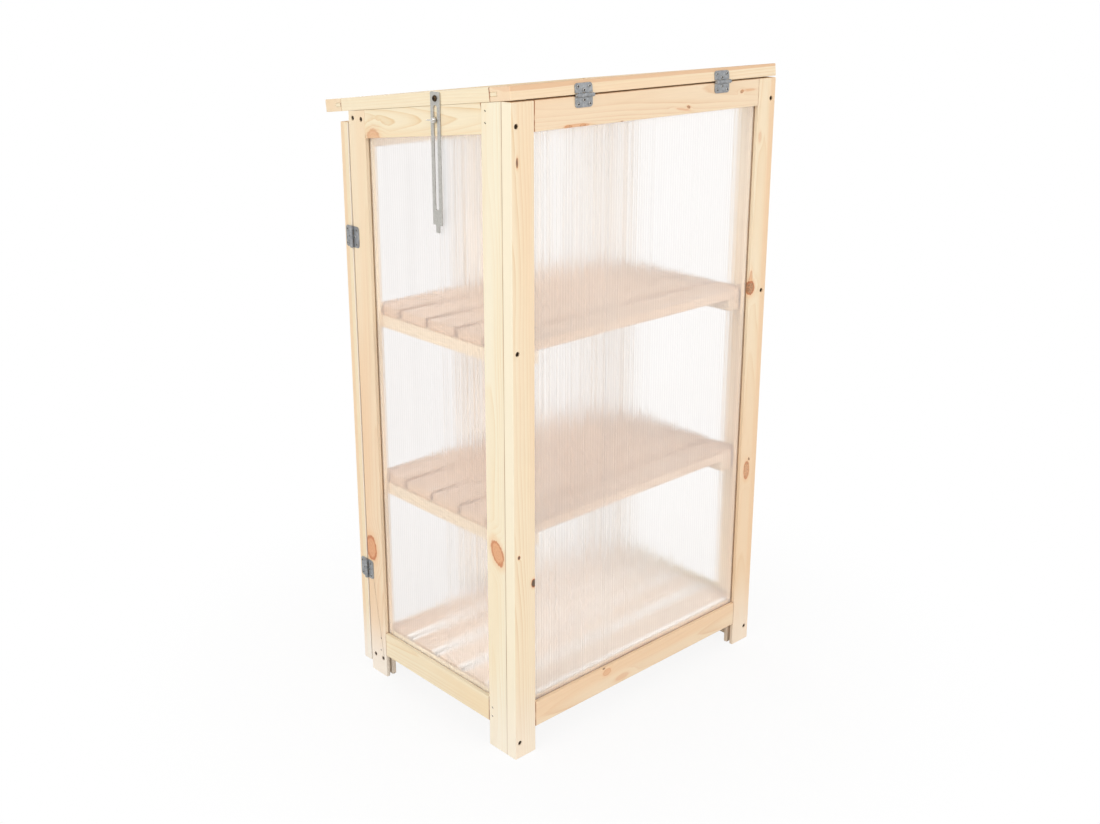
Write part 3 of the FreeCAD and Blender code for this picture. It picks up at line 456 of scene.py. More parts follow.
def clear_sheet(name, axis, ends, foot, outward):
    """Twin-wall sheet: clear, a little milky on its outward skin, and bent by a pull of its
    own in every flute, so that what stands behind it is smeared sideways into streaks.
    The flutes follow each other along axis. ends are where the opening starts and stops
    along it and foot its lower edge: there the milk takes the tone of the boards."""
    sheet = Finish(name)
    place = sheet.place()
    spot = sheet.axes(place)
    first, last = ends
    flutes = sheet.math("DIVIDE", sheet.math("SUBTRACT", spot[axis], first - BITE), FLUTE)
    rib = sheet.span(sheet.away(sheet.math("FRACT", flutes), 0.5), 0.36, 0.5)
    along = sheet.joined(flutes, 0, sheet.times(spot[2], 0.5))
    pull = sheet.noise(along, (1.7, 1, 1), 0.0)
    milk_tone, grow_from, grow_to, least, fineness = SHEET_LOOKS[axis]
    ripple = sheet.noise(along, (fineness, 1, 1), 0.0)
    height = sheet.times(pull, PULL)
    ripple = sheet.times(ripple, sheet.span(spot[axis], grow_from, grow_to, least,
                                            RIPPLE_GAIN))
    bent = sheet.bump(sheet.times(ripple, RIPPLE, height))

    cloud = sheet.noise(place, (9, 9, 3))
    veil = sheet.times(rib, RIB_VEIL, sheet.span(cloud, 0.3, 0.7, *VEIL))
    looks = sheet.vector("DOT_PRODUCT", sheet.place("Normal"), outward, "Value")
    inside = sheet.node("NewGeometry").outputs["Backfacing"]
    outer = sheet.math("SUBTRACT", sheet.math("GREATER_THAN", looks, 0.5), inside, clamp=True)
    veil = sheet.times(veil, outer)
    # By the lips and the foot the milk thins and takes the boards' warm tone: painted shade by
    # the grooves
    reach = (last - first) / 2
    beside = sheet.away(spot[axis], (first + last) / 2)
    lip = sheet.math("MAXIMUM", sheet.span(beside, reach - LIP_WIDTH, reach - MM),
                     sheet.span(spot[2], foot + MM, foot + LIP_WIDTH, 1.0, 0.0))
    veil = sheet.times(veil, sheet.times(lip, -LIP_THIN, 1.0))

    glass = sheet.surface(Base_Color=(1.0, 0.994, 0.99, 1), Roughness=0.09, IOR=1.25,
                          Transmission_Weight=1.0, Normal=bent)
    milk = sheet.surface(Base_Color=sheet.blend(lip, milk_tone, LIP_WARM_SHADE), Roughness=0.35,
                         Specular_IOR_Level=0.4)
    lets_light = sheet.node("BsdfTransparent", (0.97, 0.97, 0.97, 1))
    shadow = sheet.node("LightPath").outputs["Is Shadow Ray"]
    return sheet.close(sheet.mixed(shadow, sheet.mixed(veil, glass, milk),
                                   lets_light.outputs[0]))


# Meshes

def added(name, data):
    """A new object in the scene."""
    made = bpy.data.objects.new(name, data)
    bpy.context.scene.collection.objects.link(made)
    return made


# Seeds of the first sheet and the first knob
FIRST_SHEET_SEED, FIRST_KNOB_SEED = 40, 60

# How far the sharp edges of boards and of metal are rounded over, in mm
WOOD_EDGE, METAL_EDGE = 1.0, 0.3

# In metres: corners closer together than this are one, and a sheet's corners lie this
# close to its edge
SAME_SPOT = 2e-6
LEVEL_SPOT = 1e-5

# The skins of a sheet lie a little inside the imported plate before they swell, by SWELLS in
# mm. The sheets have 1 mm of play in their grooves and lie near the outer lips.
HALF_SHEET = 2 * MM
SKIN_DROP = 0.12 * MM
SWELLS = (0.02, 0.11)
LEANS_OUT = 0.8 * MM
STEPS_PER_FLUTE = 8


def piece(name, body, material, points, faces, smooth=None):
    """A new object of points (n, 3) and faces, which rides on a body.

    smooth is the angle in degrees up to which edges are shaded soft."""
    mesh = bpy.data.meshes.new(name)
    mesh.from_pydata(np.asarray(points, float).tolist(), [], [list(f) for f in faces])
    mesh.validate()
    if smooth:
        mesh.shade_smooth()
        mesh.set_sharp_from_angle(angle=math.radians(smooth))
    mesh.materials.append(material)
    made = added(name, mesh)
    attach(made, body)
    return made


def packed_points(node):
    """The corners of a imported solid."""
    vertices = frame["nodes"][node].data.vertices
    points = np.zeros(len(vertices) * 3)
    vertices.foreach_get("co", points)
    return points.reshape(-1, 3)


def eased(node, material, width):
    """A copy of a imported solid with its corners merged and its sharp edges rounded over,
    by a width in mm."""
    source = frame["nodes"][node]
    points = packed_points(node)
    corners = np.zeros(len(source.data.polygons) * 3, int)
    source.data.polygons.foreach_get("vertices", corners)
    _, first, merged = np.unique(np.round(points / SAME_SPOT).astype(np.int64), axis=0,
                                 return_index=True, return_inverse=True)
    faces = merged.reshape(-1)[corners].reshape(-1, 3)
    made = piece(node + ".eased", source["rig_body"], material, points[first], faces)
    work = bmesh.new()
    work.from_mesh(made.data)
    bmesh.ops.dissolve_limit(work, angle_limit=math.radians(0.5), verts=work.verts,
                             edges=work.edges)
    work.to_mesh(made.data)
    work.free()
    made.data.shade_smooth()
    rounding = made.modifiers.new("eased edges", "BEVEL")
    rounding.width = width * MM
    rounding.segments = 2
    rounding.limit_method = "ANGLE"
    rounding.angle_limit = math.radians(35)
    rounding.use_clamp_overlap = False
    rounding.harden_normals = True
    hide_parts(node)


def grid_faces(rows, columns, closed_columns=False):
    """Quads of a grid of rows x columns points; closed_columns joins the last to the first."""
    row = np.arange(rows - 1)[:, None]
    column = np.arange(columns if closed_columns else columns - 1)[None, :]
    after = (column + 1) % columns
    quads = [row * columns + column, row * columns + after,
             (row + 1) * columns + after, (row + 1) * columns + column]
    return np.stack([np.broadcast_to(q, np.broadcast_shapes(row.shape, column.shape))
                     for q in quads], -1).reshape(-1, 4)


def fluted_sheet(node, corners, outward, material, seed):
    """Twin-wall sheet. Both skins swell over each flute: the offset from the middle plane is
    half the thickness plus swell * sin^2(pi * distance across / flute), with a swell of its
    own for every flute. The skins are straight from the low edge to the high edge."""
    low_left, low_right, high_left, high_right = [np.array(c, float) for c in corners]
    across = np.linalg.norm(low_right - low_left)
    flutes = int(across / FLUTE)
    columns = flutes * STEPS_PER_FLUTE + 1
    share = np.linspace(0, 1, columns)
    rng = np.random.default_rng(seed)
    swell = rng.uniform(*SWELLS, (2, flutes + 1)) * MM
    flute = np.minimum((share * flutes).astype(int), flutes)
    lift = swell[:, flute] * np.sin(np.pi * share * flutes) ** 2
    flat = HALF_SHEET - SKIN_DROP
    offset = np.stack([flat + lift[0], -flat - lift[1]]) + LEANS_OUT
    low = low_left + share[:, None] * (low_right - low_left)
    high = high_left + share[:, None] * (high_right - high_left)
    normal = np.array(outward, float)
    skins = [edge + offset[side][:, None] * normal for side in (0, 1) for edge in (low, high)]
    points = np.concatenate(skins)
    front_low, front_high, back_low, back_high = [np.arange(columns) + columns * k
                                                  for k in range(4)]

    def strip(first, second):
        """Quads between two rows of points."""
        return np.stack([first[:-1], first[1:], second[1:], second[:-1]], -1)

    faces = np.concatenate([
        strip(front_low, front_high), strip(back_high, back_low),
        strip(back_low, front_low), strip(front_high, back_high),
        [[front_low[-1], back_low[-1], back_high[-1], front_high[-1]],
         [back_low[0], front_low[0], front_high[0], back_high[0]]]])
    if np.dot(np.cross(low_right - low_left, high_left - low_left), normal) < 0:
        faces = faces[:, ::-1]
    source = frame["nodes"][node]
    made = piece(node + ".fluted", source["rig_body"], material, points, faces,
                 smooth=40)
    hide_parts(node)


# Boards of the model: which way each runs, its tone and where its pith lies

def middle(node):
    """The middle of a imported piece's box."""
    low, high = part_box(node)
    return (low + high) / 2


KNOTS = {
    # node: x or y, and z on the face, half size along and across in mm, lean, darkness,
    # strength
    "right_side_front_stile": [(-0.1525, 0.2405, 22, 14, 0.03, 0.0, 1.0)],
    "right_side_back_stile": [(0.1830, 0.3474, 20, 12.5, 0.45, 0.0, 0.9)],
    "right_side_top_rail": [(-0.1000, 0.9515, 16, 12.5, 0.0, 0.0, 0.6)],
    "back_left_stile": [
        (-0.2530, 0.6970, 14, 3.2, 0.0, 0.1, 0.6),
        (-0.2530, 0.6808, 12, 9.0, 0.0, 0.5, 1.0),
        (-0.2665, 0.3440, 16, 7.5, 0.0, 0.3, 0.85),
        (-0.2720, 0.3640, 3, 2.0, 0.5, 0.8, 0.8),
        (-0.2585, 0.9350, 8, 3.5, 0.0, 0.0, 0.3)],
    "back_right_stile": [
        (0.2772, 0.3500, 3, 2.4, 0.0, 1.0, 1.0),
        (0.2470, 0.2980, 7, 5.0, 0.0, 1.0, 1.0),
        (0.2763, 0.9475, 7, 1.8, 0.0, 0.9, 0.9)],
    "back_top_rail": [
        (0.1620, 0.9888, 25, 2.6, 0.0, 0.0, 0.6),
        (0.1780, 0.9890, 7, 2.0, 0.0, 0.3, 0.8),
        (0.1500, 0.9885, 6, 1.8, 0.0, 0.3, 0.8),
        (0.0694, 0.9860, 4, 2.0, 0.0, 1.0, 0.9),
        (-0.0783, 0.9975, 4, 2.2, -0.3, 0.6, 0.85),
        (-0.0650, 0.9950, 14, 1.4, -0.15, 0.0, 0.45),
        (-0.2063, 1.0126, 4, 2.6, 0.3, 0.6, 0.8),
        (-0.2230, 1.0140, 16, 1.7, 0.0, 0.0, 0.4)],
    "back_bottom_rail": [
        (0.0820, 0.0761, 9, 6.0, 0.0, 0.0, 0.5),
        (0.0452, 0.0530, 14, 5.0, 0.0, 0.0, 0.3),
        (0.0894, 0.0850, 3, 1.4, 0.0, 1.0, 0.7)],
}

# Tones that grow in across a board, such as painted shade, a greyer tone, on the doors' backs
DOOR_BACK_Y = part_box("right_door_meeting_stile")[1].y
BEHIND = (1, DOOR_BACK_Y - 2 * MM, DOOR_BACK_Y - 1 * MM, INNER_FACE_SHADE, 0.8, 0.0)
LEFT_INNER_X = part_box("left_side_front_stile")[1].x
STRIPES = {
    # node: axis, start, stop, colour, amount, wobble
    **{f"{door}_door_{part}": [BEHIND] for door in ("right", "left")
       for part in ("meeting_stile", "hinge_stile", "top_rail", "bottom_rail")},
    "left_side_front_stile": [
        (0, LEFT_INNER_X - 2 * MM, LEFT_INNER_X - 1 * MM, INNER_FACE_SHADE, 0.9, 0.0)],
    # The floor's front slats are darker by a painted shadow
    "floor_slats": [(1, 0.0, -0.07, SHADED_SHELF[0], 0.8, 0.0)],
    "back_right_stile": [(0, RIGHT_X - 1.2 * MM, RIGHT_X - 0.6 * MM, PALE[0], 0.85, 0.0)],
    "back_left_stile": [
        (2, 0.75, 0.35, HALO_PEACH, 0.6, 0.0), (0, -0.277, -0.284, HALO_PEACH, 0.7, 0.0)],
    # The last stripes of these two stiles are painted light from the floor at their feet
    "right_side_front_stile": [
        (2, 0.4, 0.9, CREAM[0], 0.5, 0.0), (2, 0.11, 0.0, PAINTED_HIGHLIGHT, 0.6, 0.0)],
    "right_door_hinge_stile": [
        BEHIND, (1, -0.1765, -0.1790, HALO_PEACH, 0.55, 0.0),
        (2, 0.14, 0.02, PAINTED_HIGHLIGHT, 0.6, 0.0)],
    # Painted shade along the top edge of the rail's back face
    "lid_back_rail": [(2, 1.0462, 1.0477, LID_EDGE_SHADE, 0.85, 0.016)],
}

# Slats lie side by side: a row starts half a gap before the first one. The painted shade
# along the shelves' slat gaps leaves out the back edge of a shelf.
SLAT_PITCH, SLAT_GAP = 70.5 * MM, 9.5 * MM
ROWS = {"tilt": 0.018, "rows": (SLAT_PITCH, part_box("floor_slats")[0].y - SLAT_GAP / 2)}
SHELF_ROWS = {**ROWS, "end_tone": SHADED_SHELF[2]}
LAST_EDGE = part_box("upper_shelf_slats")[1].y - 8 * MM

BOARDS = {
    # node: run, tones, pith from the middle in mm, and other values where it has some
    "back_left_stile": ("up", PEACH, (6, -52, 0), {"tilt": 0.02}),
    "back_right_stile": ("up", PEACH, (24, -30, 0)),
    "back_top_rail": ("across", AMBER, (0, -40, 14)),
    "back_bottom_rail": ("across", AMBER, (0, -38, -10), {"tilt": 0.016}),
    "right_side_front_stile": ("up", AMBER, (-34, 18, 0)),
    "right_side_back_stile": ("up", PALE, (-40, -12, 0), {"ring": 2.6, "tilt": 0.004}),
    "right_side_top_rail": ("sloped", CREAM, (-30, 0, 3), {"tilt": 0.035, "contrast": 1.0}),
    "right_side_bottom_rail": ("deep", CREAM, (-36, 0, 20)),
    "left_side_front_stile": ("up", PEACH, (34, 10, 0)),
    "left_side_back_stile": ("up", CREAM, (38, -16, 0)),
    "left_side_top_rail": ("sloped", PEACH, (30, 0, 8), {"tilt": 0.03}),
    "left_side_bottom_rail": ("deep", CREAM, (36, 0, -14)),
    "front_top_crossrail": ("across", PEACH, (0, 12, 40)),
    "front_bottom_crossrail": ("across", CREAM, (0, -8, -42)),
    "right_door_hinge_stile": ("up", CREAM, (14, 40, 0)),
    "right_door_meeting_stile": ("up", PEACH, (-10, 44, 0)),
    "right_door_top_rail": ("across", CREAM, (0, 40, 12)),
    "right_door_bottom_rail": ("across", PEACH, (0, 38, -12)),
    "left_door_hinge_stile": ("up", PEACH, (-12, 42, 0)),
    "left_door_meeting_stile": ("up", CREAM, (16, 36, 0)),
    "left_door_top_rail": ("across", AMBER, (0, 44, 8)),
    "left_door_bottom_rail": ("across", CREAM, (0, 36, 16)),
    "lid_back_rail": ("across", PEACH, (0, -20, -44), {"tilt": 0.006}),
    "lid_front_rail": ("across", CREAM, (0, 10, -40)),
    "lid_right_rail": ("sloped", CREAM, (-20, 0, -40), {"tilt": 0.004, "contrast": 0.4}),
    "lid_left_rail": ("sloped", PEACH, (16, 0, -42)),
    "upper_shelf_right_cleat": ("deep", LIT_CLEAT, (0, 0, 40)),
    "upper_shelf_left_cleat": ("deep", LIT_CLEAT, (10, 0, 38), {"end_tone": SHADED_SHELF[1]}),
    "middle_shelf_right_cleat": ("deep", LIT_CLEAT, (-8, 0, 42)),
    "middle_shelf_left_cleat": ("deep", LIT_CLEAT, (6, 0, 36), {"end_tone": SHADED_SHELF[1]}),
    "floor_right_cleat": ("deep", SHADED_SHELF, (12, 0, 40)),
    "floor_left_cleat": ("deep", SHADED_SHELF, (-10, 0, 40)),
    # The shelves' slats have painted shade by their gaps, the floor's slats a painted highlight
    "upper_shelf_slats": ("across", SHADED_SHELF, (0, 6, -46), {
        **SHELF_ROWS, "edges": (SHADED, 0.25, 0.35, LAST_EDGE)}),
    "middle_shelf_slats": ("across", SHADED_SHELF, (0, 6, -46), {
        **SHELF_ROWS, "edges": (SHADED, 0.08, 0.35, LAST_EDGE)}),
    "floor_slats": ("across", FLOOR, (0, 6, -46), {
        **ROWS, "edges": (PAINTED_HIGHLIGHT, 1.0, 0.31, 1.0)}),
}

# The back panel's stiles lie against the side panels' back stiles; their seam is a dark joint
# with painted shade of the crack
PANEL_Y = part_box("back_right_stile")[0].y
SEAMS = {node: [(1, PANEL_Y, 1.0 * MM, 0.6, None)] for node in (
    "back_right_stile", "back_left_stile", "right_side_back_stile", "left_side_back_stile")}

# Grooves run along the inner edge of each framed board, in the middle of its thickness
TONGUE = 14.5 * MM
GROOVE_REACH = 4.5 * MM
# How much painted shade a groove gets, where it differs from 0.1
GROOVE_SHADE = {"back_bottom_rail": 0.6, "right_side_front_stile": 0.0}
NO_TONGUES = ("lid_back_rail", "lid_front_rail", "front_top_crossrail", "front_bottom_crossrail")
for panel in ("back", "right_side", "left_side", "right_door", "left_door"):
    for node in BOARDS:
        if node.startswith(panel) and ("stile" in node or "rail" in node):
            thickness_axis = 0 if "side" in panel else 1
            inner_axis = 2 if "rail" in node else 1 - thickness_axis
            own, sheet = middle(node), middle(panel + "_sheet")
            inner = (inner_axis, own[inner_axis],
                     math.copysign(1, sheet[inner_axis] - own[inner_axis]))
            SEAMS.setdefault(node, []).append(
                (thickness_axis, own[thickness_axis], GROOVE_REACH,
                 GROOVE_SHADE.get(node, 0.1), inner))


def half_length(node, along):
    """How far a packed board reaches from its middle along its run."""
    reach = (packed_points(node) - np.array(middle(node))) @ np.array(along)
    return float(np.abs(reach).max())


for seed, (node, (run, tones, pith, *others)) in enumerate(BOARDS.items()):
    shoulder = 1.0
    if "rail" in node and node not in NO_TONGUES:
        shoulder = half_length(node, RUNS[run][0]) - TONGUE
    knots = [((RIGHT_X, beside, height) if "side" in node else (beside, BACK_Y, height), *look)
             for beside, height, *look in KNOTS.get(node, ())]
    wood = pine("pine " + node.replace("_", " "), run, middle(node), pith, tones, seed,
                half=shoulder, knots=knots, seams=SEAMS.get(node, ()),
                stripes=STRIPES.get(node, ()), feet="stile" in node and "door" not in node,
                **dict(*others))
    eased(node, wood, WOOD_EDGE)


# Sheets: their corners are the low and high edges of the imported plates

def sheet_corners(node, run, outward):
    """The four corners of a packed plate's middle plane, left to right and low to high."""
    points = packed_points(node)
    normal = np.array(outward, float)
    points = points - ((points - points.mean(0)) @ normal)[:, None] * normal
    up = np.array(run, float)
    side = np.cross(up, normal)
    across = points @ side
    left = points[np.abs(across - across.min()) < LEVEL_SPOT]
    right = points[np.abs(across - across.max()) < LEVEL_SPOT]
    return (left[(left @ up).argmin()], right[(right @ up).argmin()],
            left[(left @ up).argmax()], right[(right @ up).argmax()])


UP = (0, 0, 1)
LID_UP = (0, math.cos(SLOPE), math.sin(SLOPE))
LID_OUT = (0, -math.sin(SLOPE), math.cos(SLOPE))
SHEETS = {
    # node: the way its flutes run, the way it looks, the axis they follow each other along
    "back_sheet": (UP, (0, 1, 0), 0),
    "right_side_sheet": (UP, (1, 0, 0), 1),
    "left_side_sheet": (UP, (-1, 0, 0), 1),
    "right_door_sheet": (UP, (0, -1, 0), 0),
    "left_door_sheet": (UP, (0, -1, 0), 0),
    "lid_sheet": (LID_UP, LID_OUT, 0),
}
for seed, (node, (run, outward, axis)) in enumerate(SHEETS.items(), FIRST_SHEET_SEED):
    corners = sheet_corners(node, run, outward)
    first, last = sorted((float(corners[0][axis]), float(corners[1][axis])))
    foot = float(corners[0][2]) + BITE if run is UP else NO_FOOT
    clear = clear_sheet(node.replace("_", " "), axis, (first + BITE, last - BITE), foot, outward)
    fluted_sheet(node, corners, outward, clear, seed)

# Plated finishes
hinge_zinc = zinc("hinge zinc", tint(186, 188, 190), tint(112, 115, 118), 0.1)
stay_zinc = zinc("stay zinc", tint(206, 204, 198), tint(168, 166, 160), 0.4)
head_zinc = zinc("screw head zinc", tint(206, 206, 204), tint(138, 138, 136), 0.5)
bronzed = zinc("bronzed screw", tint(92, 72, 50), tint(44, 32, 22), 0.7)
# Painted shade in the screws' crosses and round their heads; also the nails' own dark steel
recess = zinc("dark recess", tint(66, 58, 50), tint(36, 31, 27), 1.1, (0.6, 0.8))
bright_steel = zinc("bright nut", tint(236, 234, 230), tint(198, 196, 192), 0.9, (0.14, 0.3))

for leaf in ("lid", "right_door", "left_door"):
    for end in ("frame", leaf.split("_")[-1]):
        eased(f"{leaf}_hinge_{end}_leaves", hinge_zinc, METAL_EDGE)
eased("lid_stay_arm", stay_zinc, METAL_EDGE)

# The knobs and the turn button keep their solids and get a finish
KNOBS = ("right_door_knob", "left_door_knob", "door_turn_button")
for seed, node in enumerate(KNOBS, FIRST_KNOB_SEED):
    wood = pine("turned " + node.replace("_", " "), "up" if "button" in node else "deep",
                middle(node), (12, 4, 3), AMBER, seed, ring=2.2)
    finishes = frame["nodes"][node].data.materials
    finishes.clear()
    finishes.append(wood)


# Screws, nails, pins, stud and wing nut: outlines turned about +z, in millimetres

def turned_shape(radius, height, steps, sunk=None):
    """Points r * (cos a, sin a), z of rings from the upper to the lower end. radius and
    height have a row for each ring. sunk(x, y, z) gives how far each point is pressed down.
    A disc closes each end."""
    angle = np.linspace(0, 2 * np.pi, steps, endpoint=False)
    x, y = radius * np.cos(angle), radius * np.sin(angle)
    z = np.broadcast_to(height, x.shape)
    if sunk:
        z = z - sunk(x, y, z)
    faces = grid_faces(len(radius), steps, True)[:, ::-1].tolist()
    first = list(range(steps))
    last = [(len(radius) - 1) * steps + step for step in first]
    return np.stack([x, y, z], -1).reshape(-1, 3), faces + [first, last[::-1]]


def outline_shape(outline, steps, sunk=None):
    """The same for an outline of pairs of radius and height."""
    pairs = np.array(outline, float)
    return turned_shape(pairs[:, :1], pairs[:, 1:], steps, sunk)


# A screw's corners round its axis, the width of the rim round its head, and how far the
# ridges of its thread are from the hollows
SCREW_STEPS = 40
# The rim takes the dark finish: a painted shadow round the head
RIM = 0.3
HALF_PITCH = 0.9


def screw_shape(head, tall, shank, deep):
    """A pan-head screw. The head is a dome tall * (1 - 0.55 (r / R)^4) with a low rim, the
    shank has a thread of saw-tooth rings, and a cross is pressed in where the smaller of |x|
    and |y| is under the arm's half width and the larger is under its reach. The third value
    is True for the dark faces: those of the cross and the rim."""
    share = np.linspace(0.04, 1, 13)
    dome = [(head / 2 * r, tall * (1 - 0.55 * r ** 4)) for r in share]
    root = shank / 2
    ridges = np.arange(1.5, deep - root, HALF_PITCH)
    thread = [(root * (0.78 if index % 2 else 1.0), -level)
              for index, level in enumerate(ridges)]
    outline = dome + [(head / 2, 0.12), (head / 2 + RIM, 0.06), (head / 2 + RIM, 0),
                      (root, 0)] + thread + [(0.1, -deep)]

    def cross(x, y, z):
        """How far the cross is pressed in at each point."""
        low, high = np.minimum(abs(x), abs(y)), np.maximum(abs(x), abs(y))
        arm, reach = head * 0.11, head * 0.34
        pressed = np.clip((arm - low) / (arm * 0.5), 0, 1) * np.clip(
            (reach - high) / (reach * 0.4), 0, 1)
        return pressed * min(tall * 0.8, 1.2) * (z > 0.3 * tall)

    points, faces = outline_shape(outline, SCREW_STEPS, cross)
    plain = outline_shape(outline, SCREW_STEPS)[0][:, 2]
    radius = np.hypot(points[:, 0], points[:, 1])
    # The cross and the rim are painted dark, as shade
    deep_spots = (plain - points[:, 2] > 0.25) | (radius > head / 2 + RIM / 2)
    corners = grid_faces(len(outline), SCREW_STEPS, True)
    return points, faces, np.append(deep_spots[corners].any(1), [True, False])


def stand(points, foot, outward, across=None):
    """Points drawn about +z, stood on foot so that +z looks outward."""
    outward = Vector(outward).normalized()
    if across is None:
        across = Vector((0, 0, 1)).cross(outward) if abs(outward.z) < 0.9 else Vector((1, 0, 0))
    across = Vector(across).normalized()
    turn = np.array([across, outward.cross(across), outward])
    return (points @ turn + np.array(foot)) * MM


def fasteners(name, body, shapes, materials, node=None):
    """One object of many fasteners. Each of shapes is (shape, places, number of material),
    and each place is (foot in mm, outward direction). A shape may mark faces that take the
    last material. Each fastener of a shape is turned further than the one before."""
    points, faces, finishes = [], [], []
    count = 0
    for (drawn, quads, *marked), places, finish in shapes:
        own = np.full(len(quads), finish)
        if marked:
            own[marked[0]] = len(materials) - 1
        for index, (foot, outward) in enumerate(places):
            turn = 0.9 * index
            spun = drawn @ np.array([[math.cos(turn), math.sin(turn), 0],
                                     [-math.sin(turn), math.cos(turn), 0], [0, 0, 1]])
            points.append(stand(spun, foot, outward))
            faces += [[corner + count for corner in quad] for quad in quads]
            finishes += own.tolist()
            count += len(drawn)
    made = piece(name, body, materials[0], np.concatenate(points), faces, smooth=40)
    for material in materials[1:]:
        made.data.materials.append(material)
    made.data.polygons.foreach_set("material_index", finishes)
    if node:
        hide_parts(node)


# Sizes of the carcass and its hinges in mm, measured from its back face and its middle.
# Each hinge leaf has three screws, listed by their places along the pin and away from it.
DEPTH, LEAF_THICK, PIN_R = 386, 1.2, 3
PIN_UP, PIN_BACK, LID_REACH = 1031.325, 3.25, 152
DOOR_PIN = DEPTH + 1.5
LEVELS = (198, 787)
LEAF_SCREWS = ((-11.5, 12.5), (0, 7), (11.5, 12.5))
BACKWARD, OUTWARD = (0, 1, 0), (1, 0, 0)

# The doors hang this far in front of the carcass. Their knobs' screws start at their backs,
# and the turn button's screw has its head far out in front of them.
DOOR_Y = -DEPTH - 3
KNOB_X, KNOB_Z = 22.5, 590
BUTTON_OUT, BUTTON_Z = 32.6, 500

# The stay's outer face, its pivot screw and the stud
STAY_X = HALF + 2.4
PIVOT_Y, PIVOT_Z = -163.053, 1023.562
STUD_Y, STUD_Z = -164.853, 992.562


def at(x, y, z):
    """A place measured from the carcass, written in the frame, both in mm."""
    return (x + OFF_X, y + OFF_Y, z)


def door_leaf_screws(sign, way):
    """Places of a door's hinge screws. way is 1 for the leaves on the frame, -1 for those
    on the door."""
    return [(at(sign * (HALF + LEAF_THICK), way * row - DOOR_PIN, level + along), (sign, 0, 0))
            for level in LEVELS for along, row in LEAF_SCREWS]


panel_screw = screw_shape(6.8, 2.2, 3.8, 34)
leaf_screw = screw_shape(5.6, 1.0, 3.0, 14)
pivot_screw = screw_shape(9, 2.5, 5, 24)
long_screw = screw_shape(8.4, 2.5, 4, 30)
button_screw = screw_shape(8.4, 2.5, 4, 26)

# Screws with sunk heads go through the back panel into the side panels, and through the
# side panels' front stiles into the cross rails
HEAD_SUNK = 3
panel_places = [(at(sign * (HALF - 10), -HEAD_SUNK, level), BACKWARD)
                for sign in (-1, 1) for level in (27, 672, 997)]
panel_places += [(at(sign * (HALF - HEAD_SUNK), -depth, level), (sign, 0, 0))
                 for sign in (-1, 1) for depth in (375.5, 353.5) for level in (977, 33)]
frame_places = [(at(sign * LID_REACH + along, PIN_BACK - PIN_R + LEAF_THICK, PIN_UP - row),
                 BACKWARD) for sign in (-1, 1) for along, row in LEAF_SCREWS]
frame_places += door_leaf_screws(-1, 1) + door_leaf_screws(1, 1)
fasteners("cabinet.screws", "cabinet",
          [(panel_screw, panel_places, 0), (leaf_screw, frame_places, 1)],
          [bronzed, head_zinc, recess], "cabinet_screws")

# The lid's leaves lie on the back face of its back rail, which looks up the slope
_, ahead, up = LID_UP
lid_places = [(at(sign * LID_REACH + along,
                  PIN_BACK + (LEAF_THICK - PIN_R) * ahead - row * up,
                  PIN_UP + (LEAF_THICK - PIN_R) * up + row * ahead), LID_UP)
              for sign in (-1, 1) for along, row in LEAF_SCREWS]
fasteners("lid.screws", "lid", [(leaf_screw, lid_places, 0)], [head_zinc, recess],
          "lid_hinge_screws")
fasteners("pivot.screw", "lid",
          [(pivot_screw, [(at(STAY_X, PIVOT_Y, PIVOT_Z), OUTWARD)], 0)], [bronzed, recess],
          "lid_stay_pivot_screw")
for side, sign in (("right", 1), ("left", -1)):
    knob_place = [(at(sign * KNOB_X, DOOR_Y, KNOB_Z), BACKWARD)]
    fasteners(side + ".door.screws", side + "_door",
              [(leaf_screw, door_leaf_screws(sign, -1), 0), (long_screw, knob_place, 1)],
              [head_zinc, bronzed, recess], side + "_door_screws")
fasteners("button.screw", "turn_button",
          [(button_screw, [(at(KNOB_X, DOOR_Y - BUTTON_OUT, BUTTON_Z), (0, -1, 0))], 0)],
          [bronzed, recess], "turn_button_screw")

# Nails pin the side panels' joints: their heads show on both side faces
nail, nail_faces = outline_shape([(0.05, 0.14), (0.5, 0.13), (0.85, 0.08), (1.0, -0.04),
                                  (0.8, -0.4), (0.6, -0.7), (0.6, -11), (0.05, -12)], 16)
slanted = nail @ np.array([[1.8, -1.2, 0], [0.5, 0.75, 0], [0, 0, 1]])
nail_places = [(at(sign * HALF, y, z), (sign, 0, 0)) for sign in (-1, 1) for y, z in (
    (-54.0, 1014.7), (-54.2, 998), (-356.2, 71.7), (-357.7, 47.8), (-55.2, 70.4), (-55.5, 54.7))]
fasteners("side.nails", "cabinet",
          [((slanted, nail_faces), [place], 0) for place in nail_places], [recess])

# Hinge pins: half their length, and the radius of their domed ends at depths from the tip
HALF_PIN = 18.5
dome = [(0.05, 0), (0.8, 0.1), (1.35, 0.4), (1.6, 0.9)]
pin = outline_shape([(radius, HALF_PIN - down) for radius, down in dome]
                    + [(radius, down - HALF_PIN) for radius, down in dome[::-1]], 24)
pin_places = [(at(sign * LID_REACH, PIN_BACK, PIN_UP), OUTWARD) for sign in (-1, 1)]
pin_places += [(at(sign * (HALF + PIN_R), -DOOR_PIN, level), (0, 0, 1))
               for sign in (-1, 1) for level in LEVELS]
fasteners("hinge.pins", "cabinet", [(pin, pin_places, 0)], [hinge_zinc], "hinge_pins")

